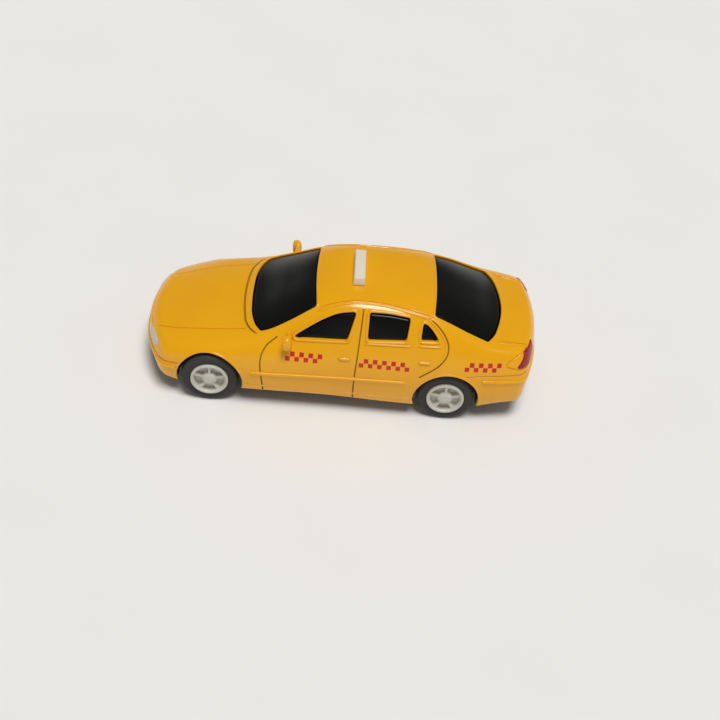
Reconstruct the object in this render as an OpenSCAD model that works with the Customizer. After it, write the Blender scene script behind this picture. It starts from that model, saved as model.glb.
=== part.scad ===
// Toy taxi with a pull-back motor. Sizes in mm.
// X points to the front, Y to the left, Z up. The origin is on the ground under the middle of the car.

/* [Overall size] */
// Distance from the front bumper to the front axle
front_overhang = 14; // [13:0.25:15]
// Distance between the two axles
wheelbase = 47; // [42:0.5:52]
// Distance from the rear axle to the rear bumper
rear_overhang = 18; // [17:0.25:19]
// Width over the flanks, without the mirrors
body_w = 31.6; // [30:0.2:34]
// Height of the roof above the ground
roof_h = 24.2; // [23:0.1:26]
// Wall of the cast shell
shell_t = 1.1; // [0.9:0.05:1.2]

/* [Body details] */
// Radius of the wheel arches
arch_r = 6.6; // [6.4:0.05:6.8]
// Depth of the moulded door and panel lines
line_depth = 0.25; // [0.15:0.05:0.35]
// Width of the moulded door and panel lines
line_w = 0.35; // [0.25:0.05:0.5]
// Height of the strips that stand out of the flanks
strip_h = 0.25; // [0.15:0.05:0.35]
// How far a mirror stands out of the flank
mirror_reach = 0.9; // [0.4:0.1:1.4]
// Width of the grille slots in the front face
grille_w = 8; // [6:0.2:9]
// Depth of the grille slots at the middle of the front
grille_depth = 0.9; // [0.7:0.05:1]
// Width of the intake slot under the grille
intake_w = 10; // [8:0.5:11]
// Length of a door handle
handle_l = 2.6; // [2:0.1:3.2]

/* [Windows] */
// How deep the panes lie under the outer skin
pane_depth = 0.4; // [0.25:0.05:0.6]
// Thickness of the glazing insert behind the shell
pane_t = 0.7; // [0.5:0.05:0.9]
// Gap around each pane and behind the shell
pane_gap = 0.2; // [0.15:0.01:0.25]

/* [Roof sign] */
// Length of the sign across the roof
sign_l = 9.4; // [8:0.1:11]
// Width of the sign along the car
sign_w = 2.4; // [2.2:0.1:3]
// Height of the sign
sign_h = 1.8; // [1.4:0.1:2.6]
// How far the middle of the sign lies behind the middle of the car
sign_back = 2.4; // [1.5:0.1:3.5]
// Diameter of the two pegs under the sign
sign_peg_d = 1.3; // [1:0.1:1.5]

/* [Wheels] */
// Outer diameter of the tyres
tyre_d = 11.4; // [11:0.1:11.8]
// Width of the tyres
tyre_w = 4.4; // [4:0.1:4.6]
// Diameter of the visible rim
rim_d = 7.5; // [7:0.1:8]
// How far the rims stand out of the tyres
rim_out = 0.35; // [0.2:0.05:0.5]
// How far the rims lie inside the flanks
wheel_inset = 0.35; // [0.2:0.05:0.6]
// Number of spokes
spokes = 5; // [4:1:6]
// Width of a spoke
spoke_w = 0.9; // [0.7:0.05:1.1]
// Depth of the pockets between the spokes
pocket_depth = 1.1; // [0.7:0.1:1.4]
// Diameter of the centre cap
cap_d = 3.1; // [2.8:0.1:3.4]
// Diameter of the axles
axle_d = 1.5; // [1.3:0.05:1.7]

/* [Base plate] */
// Height of the underside above the ground
base_z = 3.3; // [3.1:0.1:3.5]
// Thickness of the plate
base_t = 1; // [0.8:0.05:1.2]
// How much higher the plate lies under the bumpers
end_lift = 0.7; // [0.5:0.05:0.8]
// Height of the rim that locates the plate in the shell
rim_h = 1; // [0.7:0.1:1.1]
// Thickness of that rim
rim_t = 0.9; // [0.7:0.05:1.1]
// Gap between the plate and the shell
base_gap = 0.25; // [0.15:0.05:0.35]
// Thickness of a front axle lug
lug_t = 2.2; // [1.8:0.1:2.6]

/* [Screws] */
// Diameter of the screw shanks
screw_d = 1.6; // [1.4:0.1:1.8]
// Diameter of the screw heads
screw_head_d = 3.2; // [2.8:0.1:3.4]
// Height of the screw heads
screw_head_h = 0.9; // [0.7:0.05:1]
// Length of the shanks under the heads
screw_l = 6; // [5:0.25:7]
// Diameter of the posts that the screws go into
post_d = 4.2; // [3.8:0.1:4.6]

/* [Motor] */
// Room between the motor case and the tyres
case_room = 3.2; // [3:0.1:3.6]
// Wall of the motor case
case_t = 0.7; // [0.6:0.05:0.8]
// Free room around the gears
gear_room = 0.3; // [0.2:0.05:0.4]
// Module of the gears
gear_module = 0.42; // [0.4:0.01:0.43]
// Teeth of the pinion on the rear axle
pinion_teeth = 9; // [9:1:10]
// Teeth of the wheel of the transfer gear
transfer_teeth = 26; // [24:1:27]
// Teeth of the small step of the transfer gear
step_teeth = 9; // [9:1:10]
// Teeth of the spring gear
spring_teeth = 27; // [25:1:28]
// Width of the gear wheels
gear_w = 1.4; // [1.1:0.1:1.5]
// Play between the teeth
backlash = 0.1; // [0.06:0.01:0.14]
// Diameter of the arbor that the spring is wound on
arbor_d = 2.6; // [2.3:0.1:2.9]
// Diameter of the gear journals
journal_d = 1.5; // [1.3:0.1:1.7]
// Thickness of the spring strip
spring_t = 0.16; // [0.12:0.01:0.2]
// Turns of the wound spring
spring_turns = 6; // [5:0.5:7]

/* [Fits] */
// Clearance around turning pins
run_gap = 0.05; // [0.03:0.01:0.08]
// Clearance around pegs, posts and screws
fit_gap = 0.1; // [0.06:0.01:0.14]
// Side play of the axles
side_play = 0.3; // [0.2:0.05:0.4]

/* [Hidden] */
$fn = 48;

// Each point of a body line is [x, half width, height], from the tail to the nose
sill_line = [[-39.5, 13.6, 5.6], [-33, 14.4, 4.9], [-27, 15, 3.8], [-14, 15.1, 3.5], [2, 15.1, 4.1],
    [18, 15.1, 4], [28, 15, 4], [34, 14.2, 4], [39.5, 12.8, 4.1]];
flank_line = [[-39.5, 14, 7.4], [-33, 15, 6.9], [-24, 15.6, 6.3], [0, 15.75, 6.2], [24, 15.6, 6.3],
    [33, 14.8, 6.3], [39.5, 13.4, 6.3]];
waist_line = [[-39.5, 14.1, 10.3], [-33, 15.2, 10.5], [-24, 15.95, 10.2], [0, 16, 9.8], [24, 15.9, 9.5],
    [33, 15, 9], [39.5, 13.5, 8.6]];
shoulder_line = [[-39.5, 13.5, 13.8], [-33, 14.7, 14], [-24, 15.4, 14.1], [-10, 15.5, 13.9],
    [6, 15.4, 13.4], [18, 15.3, 12.7], [27, 15.1, 12], [34, 14.2, 11], [39.5, 12.6, 10.3]];
belt_line = [[-39.5, 12.4, 16.4], [-34, 13, 16.9], [-28, 13.4, 17.2], [-20, 13.6, 17.6],
    [-10, 13.7, 17], [4, 13.6, 16.2], [12, 13.6, 15.6], [18, 13.8, 14.7], [27, 13.4, 13.4],
    [34, 12.4, 12.2], [39.5, 10.8, 11.4]];
rail_line = [[-39.5, 9.5, 17.2], [-35, 10.8, 17.5], [-30, 12, 17.9], [-26, 11.8, 19.2], [-20, 11, 21.6],
    [-15, 10.5, 23], [-8, 10.3, 23.6], [0, 10.2, 23.5], [4, 10.2, 22.7], [10, 11.3, 19.4],
    [15.5, 12.4, 16.4], [19, 12.2, 15.2], [27, 10.8, 14], [34, 9.4, 12.9], [39.5, 8, 11.9]];
crown_line = [[-39.5, 0, 17.4], [-36, 0, 17.7], [-33.5, 0, 17.9], [-31, 0, 18.6],
    [-26, 0, 20.7], [-20, 0, 22.8], [-16, 0, 23.6], [-10, 0, 24.1], [-3, 0, 24.2],
    [2, 0, 23.9], [6, 0, 23], [12, 0, 19.8], [17, 0, 16.9],
    [19, 0, 16.1], [24, 0, 15.2], [30, 0, 14.2], [36, 0, 12.9], [39.5, 0, 12.2]];

// The lines are stretched to the length, width and height of the car
body_l = front_overhang + wheelbase + rear_overhang;
draw_l = crown_line[len(crown_line) - 1][0] - crown_line[0][0];
draw_w = 2 * waist_line[3][1] - 0.4;
draw_h = crown_line[8][2];
sx = body_l / draw_l;
sy = body_w / draw_w;
sz = roof_h / draw_h;

// How far the bumper corners lie behind the bumper middle, front and rear
front_bow = 4.2;
rear_bow = 2.6;
// How far the front and rear faces lean back, and the heights where they stand out most
nose_rake = 1.1;
nose_z = 7.4;
tail_rake = 1;
tail_z = 9.5;
// Rounding of the upper and side edges of the bumpers, and the share of it at the lower edges
end_r = 1.6;
low_share = 0.25;
// From this distance on the shell wall is kept at the ends too
end_start = 30;

// Window outlines in side view, [x, height]
front_glass = [[9.4, 16.6], [-1, 17.2], [-2.4, 22.4], [1.1, 21.9], [4.1, 20.5], [7.1, 18.6]];
rear_glass = [[-4.8, 17.6], [-12.5, 18.1], [-12.9, 22.1], [-9, 22.5], [-4.8, 22.5]];
quarter_glass = [[-15.1, 18.4], [-18.9, 18.6], [-17.9, 19.9], [-16.7, 21], [-15.3, 21.6]];
// Half outlines of the two big windows from above, [x, half width]
wind_screen = [[18.6, 0], [18.3, 6.2], [17.3, 9.6], [16, 11.5], [13.8, 11.5], [10.3, 10.7],
    [5.5, 9.3], [5.9, 4], [6, 0]];
back_light = [[-17.9, 0], [-17.8, 5], [-17.5, 9.7], [-23.1, 10.7], [-28.5, 11.2], [-30, 9],
    [-31.2, 4.6], [-31.7, 0]];
window_r = 0.4;

// Panel lines in side view, [x, height]
door_front = [[12.6, 16.5], [14.6, 15], [15.5, 13.4], [15.7, 11.4], [15, 6.4], [14.8, 3]];
door_middle = [[-3.6, 22.9], [-3.2, 15], [-2.9, 9.5], [-3.1, 3]];
door_rear = [[-16.4, 22.2], [-18.3, 21.1], [-20, 19.5], [-20.8, 17.8], [-20.6, 16], [-19.1, 14.1],
    [-15.6, 11.5]];
bumper_rear = [[-24.8, 12.1], [-28.7, 12.6], [-40, 12.6]];
lamp_rear = [[-40, 13.7], [-34.6, 13.8], [-32, 14.7], [-34.1, 16.1], [-36.6, 17.2]];
bumper_front = [[40, 8.1], [34, 8.4], [29.6, 9.2]];
// Panel lines from above, [x, half width]
cowl_edge = [[20, 0], [19.8, 4.3], [19.2, 8.5], [18, 10.7], [16.6, 12]];
bonnet_edge = [[18.6, 10.2], [26, 9.9], [33, 8.8], [36.6, 7.6]];
boot_edge = [[-30.6, 10.4], [-39, 9.6]];
// Strips that stand out of the flanks, [x, height]
flank_strip = [[17.6, 8.8], [-13.2, 9.6], [-13.2, 10.2], [17.6, 9.4]];
rear_strip = [[-27.9, 11], [-40, 10.5], [-40, 11.2], [-27.9, 11.7]];
front_strip = [[32.4, 7], [42, 6.6], [42, 7.2], [32.4, 7.6]];

// Wheel and axle places
axle_r = axle_d / 2;
axle_z = tyre_d / 2;
front_x = body_l / 2 - front_overhang;
rear_x = front_x - wheelbase;
rim_r = rim_d / 2;
rim_face_y = body_w / 2 - wheel_inset;
tyre_face_y = rim_face_y - rim_out;
tyre_in_y = tyre_face_y - tyre_w;
case_w = 2 * (tyre_in_y - case_room);
bearing_y = case_w / 2;
boss_in_y = bearing_y + side_play;
boss_r = axle_r + 0.8;
axle_half_l = rim_face_y - pocket_depth - 0.4;

// Base plate places
base_top = base_z + base_t;
notch_x = tyre_d / 2 + 0.7;
notch_y = tyre_in_y - 0.8;
seat_h = base_t + 1.2;
// The front screw lies under the cowl line, the rear one behind the rear window
front_screw_x = cowl_edge[0][0] * sx;
rear_screw_x = back_light[7][0] * sx - post_d / 2 - 0.3;
// Places of the screws: [x, underside of the plate there]
screw_places = [[front_screw_x, base_z], [rear_screw_x, base_z + end_lift]];
// The three lengths of the plate: [start, end, underside]
plate_lengths = [[-body_l, rear_x - notch_x + 0.6, base_z + end_lift],
    [rear_x - notch_x - 0.6, front_x + notch_x + 0.6, base_z],
    [front_x + notch_x - 0.6, body_l, base_z + end_lift]];

// Gear sizes and places
pressure = 25;
add_f = 0.75;
ded_f = 1;
function pitch_r(teeth) = gear_module * teeth / 2;
function tip_r(teeth) = pitch_r(teeth) + add_f * gear_module;
case_floor = axle_z - tip_r(pinion_teeth) - gear_room;
case_z0 = case_floor - case_t;
first_reach = pitch_r(pinion_teeth) + pitch_r(transfer_teeth);
second_reach = pitch_r(step_teeth) + pitch_r(spring_teeth);
transfer_z = case_floor + gear_room + tip_r(transfer_teeth);
transfer_x = rear_x + sqrt(first_reach ^ 2 - (transfer_z - axle_z) ^ 2);
spring_z = case_floor + gear_room + tip_r(spring_teeth);
spring_x = transfer_x + sqrt(second_reach ^ 2 - (spring_z - transfer_z) ^ 2);
first_turn = atan2(transfer_z - axle_z, transfer_x - rear_x);
second_turn = atan2(spring_z - transfer_z, spring_x - transfer_x);
case_x0 = rear_x - tip_r(pinion_teeth) - gear_room - case_t;
case_x1 = spring_x + tip_r(spring_teeth) + gear_room + case_t;
case_z1 = case_floor + 2 * gear_room + 2 * max(tip_r(spring_teeth), tip_r(transfer_teeth)) + case_t;
case_in_y = case_w / 2 - case_t;
// Layers of the gear train along Y, from the right wall of the case
wheel_y = -case_in_y + 0.5;
step_y = wheel_y + gear_w;
spring_gear_y = step_y + 0.6;
spring_y = spring_gear_y + gear_w + 0.7;
spring_w = 0.467 * (case_in_y - spring_y);
spring_in_r = arbor_d / 2 + 0.06;
spring_out_r = tip_r(spring_teeth) - 0.7;
flange_w = 1.2;
flange_y = 4;
flange_t = 0.8;
hook_y = 2.5;
hook_t = 1;
peg_r = 0.55;
peg_l = 2;

// Smooth value of a body line at x
function line_slope(k, j) =
    j == 0 ? (k[1] - k[0]) / (k[1][0] - k[0][0]) :
    j == len(k) - 1 ? (k[j] - k[j - 1]) / (k[j][0] - k[j - 1][0]) :
    let (a = k[j][0] - k[j - 1][0], b = k[j + 1][0] - k[j][0])
    ((k[j] - k[j - 1]) * b / a + (k[j + 1] - k[j]) * a / b) / (a + b);
function line_at(k, x) =
    let (c = min(max(x, k[0][0]), k[len(k) - 1][0]))
    let (i = max([for (j = [0:len(k) - 2]) if (k[j][0] <= c) j]))
    let (h = k[i + 1][0] - k[i][0])
    let (t = (c - k[i][0]) / h)
    (2 * t ^ 3 - 3 * t ^ 2 + 1) * k[i] + (t ^ 3 - 2 * t ^ 2 + t) * h * line_slope(k, i)
    + (3 * t ^ 2 - 2 * t ^ 3) * k[i + 1] + (t ^ 3 - t ^ 2) * h * line_slope(k, i + 1);

// Control points of one cross section, moved inwards by d
function control_points(x, d) =
    let (a = line_at(sill_line, x), b = line_at(flank_line, x), c = line_at(waist_line, x))
    let (e = line_at(shoulder_line, x), f = line_at(belt_line, x), g = line_at(rail_line, x))
    let (h = line_at(crown_line, x))
    let (m = [x, g[1] / 2, h[2] - 0.12 * (h[2] - g[2]) - 0.05])
    let (g1 = g + 0.22 * (f - g), g2 = g + 0.22 * (m - g))
    [[a[1] - d, a[2]], [b[1] - d, b[2]], [c[1] - d, c[2]], [e[1] - 0.95 * d, e[2] - 0.3 * d],
    [f[1] - 0.75 * d, f[2] - 0.65 * d], [g1[1] - 0.65 * d, g1[2] - 0.75 * d],
    [g2[1] - 0.3 * d, g2[2] - 0.95 * d],
    [m[1], m[2] - d], [0, h[2] - d]];

// Point at t on the smooth curve of control points that starts and ends on the outer ones
function curve_at(p, t) =
    let (n = len(p) + 1, i = min(floor(t * n), n - 1), u = t * n - i)
    let (q = [for (j = [0:3]) p[min(max(i + j - 2, 0), len(p) - 1)]])
    ((1 - u) ^ 3 * q[0] + (3 * u ^ 3 - 6 * u ^ 2 + 4) * q[1] +
        (1 + 3 * u + 3 * u ^ 2 - 3 * u ^ 3) * q[2] + u ^ 3 * q[3]) / 6;

// The ends bow back towards the corners and lean back above and below the bumpers
function bowed(x, y, z) =
    let (f = max(0, (x - 22) / (draw_l / 2 - 22)) ^ 2, r = max(0, (-16 - x) / (draw_l / 2 - 16)) ^ 2)
    x - f * (front_bow * (y / 14) ^ 2 + nose_rake * ((z - nose_z) / 5) ^ 2)
    + r * (rear_bow * (y / 14) ^ 2 + tail_rake * ((z - tail_z) / 8) ^ 2);
function drawn_x(x, d) = abs(x) < end_start ? x :
    sign(x) * (end_start + (abs(x) - end_start) * (draw_l / 2 - end_start - d) / (draw_l / 2 - end_start));

// One ring of the skin: [x, size] of a station, d inwards, n steps on each half. Its lower edge, carried down
// by drop, has points of its own, so that it follows the bow of the bumpers
function ring(st, d, drop, n) =
    let (x = drawn_x(st[0], d), p = control_points(x, d), k = st[1])
    let (zm = (p[0][1] + p[8][1]) / 2)
    let (kz = k > 0.8 ? 1 - (1 - k) * 13 / (p[8][1] - zm) : k)
    let (kl = k > 0.8 ? 1 - (1 - kz) * low_share : k)
    let (half = [for (i = [0:n]) let (q = curve_at(p, i / n))
        [q[0] * k, zm + (q[1] - zm) * (q[1] > zm ? kz : kl)]])
    let (foot = [for (b = drop > 0 ? [0.2, 0.5, 0.8, 1] : [0.2, 0.5, 0.8])
        [half[0][0] * b, half[0][1] - drop]])
    let (left = concat(foot, half), m = len(left) - 1)
    [for (i = [0:2 * m]) let (q = i <= m ? left[i] : left[2 * m - i], y = i <= m ? q[0] : -q[0])
        [bowed(x, y, max(q[1], half[0][1])) * sx, y * sy, q[1] * sz]];

// Stations along the car, with rounded ends that close towards the middle of the bumpers
function stations(step) =
    let (e = draw_l / 2, m = floor((e - end_r) * 2 / step))
    concat([for (k = [0.05, 0.35, 0.65]) [-e, k]],
    [for (a = [90, 60, 30]) [-e + end_r * (1 - sin(a)), 1 - end_r * (1 - cos(a)) / 13]],
    [for (i = [0:m]) [-e + end_r + (e - end_r) * 2 * i / m, 1]],
    [for (a = [30, 60, 90]) [e - end_r * (1 - sin(a)), 1 - end_r * (1 - cos(a)) / 13]],
    [for (k = [0.65, 0.35, 0.05]) [e, k]]);

// Closed skin of the body, d inside its outer face
module skin(d, drop, step, n) {
    st = stations(step);
    rows = [for (s = st) ring(s, d, drop, n)];
    w = len(rows[0]);
    r = len(rows);
    side = [for (i = [0:r - 2], j = [0:w - 1]) let (a = i * w + j, b = i * w + (j + 1) % w)
        for (f = [[a, b + w, b], [a, a + w, b + w]]) f];
    tail = [[for (j = [0:w - 1]) j]];
    nose = [[for (j = [0:w - 1]) r * w - 1 - j]];
    polyhedron(points = [for (row = rows, p = row) p], faces = concat(side, tail, nose), convexity = 8);
}

module outer_skin() {
    skin(0, 0, 4, 14);
}

// Outline drawn in side view, carried across the car on both sides
module from_side(y0, y1) {
    for (s = [-1, 1])
        translate([0, s > 0 ? y1 : -y0, 0])
            rotate([90, 0, 0])
                linear_extrude(y1 - y0)
                    children();
}

module side_outline(p, r) {
    offset(r, $fn = 8)
        offset(delta = -r)
            polygon([for (q = p) [q[0] * sx, q[1] * sz]]);
}

module top_outline(p, r) {
    offset(r, $fn = 8)
        offset(delta = -r)
            polygon([for (q = concat(p, [for (i = [len(p) - 2:-1:1]) [p[i][0], -p[i][1]]]))
                [q[0] * sx, q[1] * sy]]);
}

// A narrow band along points p
function band_side(p, i) =
    let (d = p[min(i + 1, len(p) - 1)] - p[max(i - 1, 0)])
    [-d[1], d[0]] / norm(d);
module band(p, w) {
    n = len(p) - 1;
    polygon(concat([for (i = [0:n]) p[i] + band_side(p, i) * w / 2],
        [for (i = [n:-1:0]) p[i] - band_side(p, i) * w / 2]));
}

// All window openings, smaller by g on every side
module windows(g) {
    from_side(6, 20)
        offset(delta = -g) {
            side_outline(front_glass, window_r);
            side_outline(rear_glass, window_r);
            side_outline(quarter_glass, window_r);
        }
    translate([0, 0, 13])
        linear_extrude(15)
            offset(delta = -g) {
                top_outline(wind_screen, window_r);
                top_outline(back_light, window_r);
            }
}

module panel_lines() {
    from_side(8, 20)
        for (p = [door_front, door_middle, door_rear, bumper_rear, lamp_rear, bumper_front])
            band([for (q = p) [q[0] * sx, q[1] * sz]], line_w);
    for (s = [-1, 1])
        translate([0, 0, 8])
            linear_extrude(12)
                for (p = [cowl_edge, bonnet_edge, boot_edge])
                    band([for (q = p) [q[0] * sx, s * q[1] * sy]], line_w);
    lamp_lines();
}

// Outlines of the front lamps, drawn from the front
module lamp_lines() {
    translate([body_l / 2 - 8, 0, 0])
        rotate([90, 0, 90])
            linear_extrude(10)
                for (s = [-1, 1])
                    scale([s, 1])
                        difference() {
                            lamp_outline();
                            offset(delta = -line_w)
                                lamp_outline();
                        }
}

// Grille bars and intake, cut straight into the front face
module front_slots() {
    for (z = [8.55, 9.3, 10.05])
        translate([body_l / 2 - grille_depth, -grille_w / 2, z * sz])
            cube([4, grille_w, 0.4]);
    translate([body_l / 2 - grille_depth, -intake_w / 2, 5.4 * sz])
        cube([4, intake_w, 0.7]);
}

// Outline of a front lamp: [place across the car, height]
front_lamp = [[6.3, 8.95], [11.1, 9.25], [10.7, 10.85], [6.5, 11.15]];
module lamp_outline() {
    polygon([for (q = front_lamp) [q[0] * sy, q[1] * sz]]);
}

module strips() {
    from_side(8, 20)
        for (p = [flank_strip, rear_strip, front_strip])
            polygon([for (q = p) [q[0] * sx, q[1] * sz]]);
}

module mirror_pair() {
    for (s = [-1, 1])
        scale([1, s, 1]) {
            hull() {
                translate([10.9 * sx, 13.1 * sy, 16.4 * sz])
                    sphere(0.55, $fn = 8);
                translate([10.6 * sx, 14.6 * sy, 16.9 * sz])
                    sphere(0.6, $fn = 8);
            }
            hull() {
                for (z = [16.1, 17.6], y = [body_w / 2 - 1.1, body_w / 2 + mirror_reach - 0.6])
                    translate([10.5 * sx, y, z * sz])
                        sphere(0.6, $fn = 8);
                translate([11.3 * sx, body_w / 2 - 0.2, 16.8 * sz])
                    sphere(0.6, $fn = 8);
            }
        }
}

module door_handles() {
    for (s = [-1, 1], p = [[-0.7, 15.15, 14], [-16.3, 15.05, 14.65]])
        translate([p[0] * sx, s * p[1] * sy, p[2] * sz])
            hull() {
                translate([handle_l / 2 - 0.4, 0, 0])
                    sphere(0.4, $fn = 8);
                translate([0.4 - handle_l / 2, 0, 0.05])
                    sphere(0.4, $fn = 8);
            }
}

// Round posts at the screws, from h above the underside of the plate to z1
module screw_posts(r, h, z1) {
    for (p = screw_places)
        translate([p[0], 0, p[1] + h])
            cylinder(r = r, h = z1 - p[1] - h, $fn = 24);
}

module sign_pegs(d, z0, z1) {
    for (s = [-1, 1])
        translate([-sign_back, s * sign_l / 4, z0])
            cylinder(d = d, h = z1 - z0, $fn = 24);
}

module body_shell() color([0.95, 0.68, 0.08]) {
    difference() {
        union() {
            outer_skin();
            intersection() {
                skin(-strip_h, 0, 5, 10);
                strips();
            }
            mirror_pair();
            door_handles();
            sign_pegs(sign_peg_d + 1, roof_h - 1, roof_h + 0.06);
        }
        difference() {
            skin(shell_t, 6, 6, 10);
            screw_posts(post_d / 2, seat_h, roof_h);
        }
        difference() {
            panel_lines();
            skin(line_depth, 6, 5, 12);
        }
        windows(0);
        front_slots();
        for (x = [front_x, rear_x], s = [-1, 1])
            translate([x, s * (notch_y + 8), axle_z])
                rotate([90, 0, 0])
                    cylinder(r = arch_r, h = 16, center = true, $fn = 40);
        sign_pegs(sign_peg_d + 2 * fit_gap, roof_h - 4, roof_h + 1);
        screw_posts(screw_d / 2 + fit_gap, 0, 12.5);
    }
}

module glazing() color([0.08, 0.08, 0.08]) {
    difference() {
        union() {
            intersection() {
                skin(shell_t + pane_gap, 6, 6, 10);
                glazing_room();
            }
            intersection() {
                skin(pane_depth, 6, 6, 10);
                windows(pane_gap);
            }
        }
        difference() {
            skin(shell_t + pane_gap + pane_t, 8, 6, 10);
            glazing_ears();
        }
        screw_posts(post_d / 2 + fit_gap, 0, roof_h + 1);
        sign_pegs(sign_peg_d + 2 * fit_gap + 0.6, roof_h - 6, roof_h + 1);
    }
}

// Side outline of the insert: [place along the car, height]
glazing_side = [[20, 14.2], [14, 14.2], [8, 14.9], [-18, 16.6], [-33, 15.6], [-33, 30], [20, 30]];
// The insert reaches from below the belt line to the roof, with an ear on each screw post
module glazing_room() {
    from_side(0, body_w)
        polygon([for (q = glazing_side) [q[0] * sx, q[1] * sz]]);
    glazing_ears();
}

module glazing_ears() {
    for (p = [[front_screw_x, 13.8 * sz], [rear_screw_x, 15.4 * sz]])
        translate([p[0], 0, p[1]])
            cylinder(r = post_d / 2 + 0.9, h = 0.8, $fn = 24);
}

module roof_sign() color([0.93, 0.91, 0.84]) {
    translate([-sign_back, 0, roof_h + 0.06])
        hull() {
            linear_extrude(0.2)
                offset(0.25, $fn = 16)
                    square([sign_w - 0.5, sign_l - 0.5], center = true);
            translate([0, 0, sign_h - 0.4])
                linear_extrude(0.2)
                    offset(0.25, $fn = 16)
                        square([sign_w - 0.7, sign_l - 0.7], center = true);
            translate([0, 0, sign_h - 0.2])
                linear_extrude(0.2)
                    offset(0.1, $fn = 16)
                        square([sign_w - 0.8, sign_l - 0.8], center = true);
        }
    sign_pegs(sign_peg_d, roof_h - 1.5, roof_h + 0.5);
}

// Outline of the plate: the sill line of the shell, moved inwards, with bowed ends
plate_start = -37;
plate_end = 36.6;
function plate_y(x) = line_at(sill_line, x)[1] - shell_t - base_gap;
function plate_point(x, y) = [bowed(x, y, 4) * sx, y * sy];
module plate_outline() {
    left = concat([for (k = [0:0.33:0.7]) plate_point(plate_start, k * plate_y(plate_start))],
        [for (i = [0:18]) let (x = plate_start + (plate_end - plate_start) * i / 18)
            plate_point(x, plate_y(x))],
        [for (k = [0.66:-0.33:0]) plate_point(plate_end, k * plate_y(plate_end))]);
    n = len(left) - 1;
    polygon(concat(left, [for (i = [n - 1:-1:1]) [left[i][0], -left[i][1]]]));
}

module wheel_notches() {
    for (x = [front_x, rear_x], s = [-1, 1])
        translate([x, s * (notch_y + 8)])
            square([2 * notch_x, 16], center = true);
}

// An outline raised to height h on each of the three lengths of the plate
module plate_layer(h) {
    for (p = plate_lengths)
        translate([0, 0, p[2]])
            linear_extrude(h)
                intersection() {
                    children();
                    translate([p[0], -body_w])
                        square([p[1] - p[0], 2 * body_w]);
                }
}

module base_plate() color([0.16, 0.16, 0.17]) {
    difference() {
        union() {
            plate_layer(base_t)
                difference() {
                    plate_outline();
                    wheel_notches();
                }
            plate_layer(base_t + rim_h)
                difference() {
                    plate_outline();
                    offset(delta = -rim_t)
                        plate_outline();
                    wheel_notches();
                }
            for (s = [-1, 1])
                translate([front_x - 2, s * (bearing_y - lug_t / 2) - lug_t / 2, base_top - 0.2])
                    cube([4, lug_t, axle_z + axle_r + 1.1 - base_top + 0.2]);
            screw_bosses();
            motor_hooks();
            floor_ribs();
        }
        translate([case_x0 - fit_gap, -case_w / 2 - fit_gap, base_z - 1])
            cube([case_x1 - case_x0 + 2 * fit_gap, case_w + 2 * fit_gap, base_t + 2]);
        translate([front_x, 0, axle_z])
            rotate([90, 0, 0])
                cylinder(r = axle_r + run_gap, h = body_w, center = true);
        for (x = [front_x, rear_x], s = [-1, 1])
            translate([x, s * (bearing_y + 10), axle_z])
                rotate([90, 0, 0])
                    cylinder(r = boss_r + 0.3, h = 20, center = true);
        for (p = screw_places)
            translate([p[0], 0, p[1]]) {
                translate([0, 0, -1])
                    cylinder(d = screw_head_d + 4 * fit_gap, h = 1 + screw_head_h + 0.2);
                cylinder(d = screw_d + 2 * fit_gap, h = 10);
            }
    }
}

module screw_bosses() {
    for (p = screw_places)
        translate([p[0], 0, p[1]])
            cylinder(d = screw_head_d + 2, h = seat_h - 0.05);
}

// Two hooks that hold the flanges of the motor case down
module motor_hooks() {
    for (s = [-1, 1])
        translate([s > 0 ? case_x1 : case_x0, 0, 0])
            scale([s, 1, 1]) {
                translate([flange_w + fit_gap, -hook_y, base_top - 0.2])
                    cube([hook_t, 2 * hook_y, flange_t + 1.2]);
                translate([flange_w / 2, -hook_y, base_top + flange_t + fit_gap])
                    cube([flange_w / 2 + fit_gap + hook_t, 2 * hook_y, 0.9 - fit_gap]);
            }
}

// Shallow ribs under the plate: a pipe with a silencer on the right, two rails on the left
module floor_ribs() {
    translate([0, -9.6 * sy, base_z])
        rotate([0, 90, 0])
            cylinder(d = 1, h = 30 * sx, center = true, $fn = 24);
    translate([-36.5 * sx, -9 * sy, base_z + end_lift - 0.3])
        cube([5.5 * sx, 4.5 * sy, 0.5]);
    for (y = [8.8, 10.8])
        translate([-14 * sx, y * sy, base_z - 0.3])
            cube([28 * sx, 0.8, 0.5]);
}

module base_screws() color([0.72, 0.72, 0.74]) {
    for (p = screw_places)
        translate([p[0], 0, p[1] + 0.2])
            difference() {
                union() {
                    cylinder(d = screw_head_d, h = screw_head_h);
                    cylinder(d = screw_d, h = screw_head_h + screw_l);
                }
                translate([-1, -0.2, -1])
                    cube([2, 0.4, 1.45]);
                translate([-0.2, -1, -1])
                    cube([0.4, 2, 1.45]);
            }
}

module axle_pin(x) {
    translate([x, 0, axle_z])
        rotate([90, 0, 0])
            cylinder(r = axle_r, h = 2 * axle_half_l, center = true);
}

module front_axle() color([0.75, 0.75, 0.77]) {
    axle_pin(front_x);
}

module rear_axle() color([0.75, 0.75, 0.77]) {
    axle_pin(rear_x);
}

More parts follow.
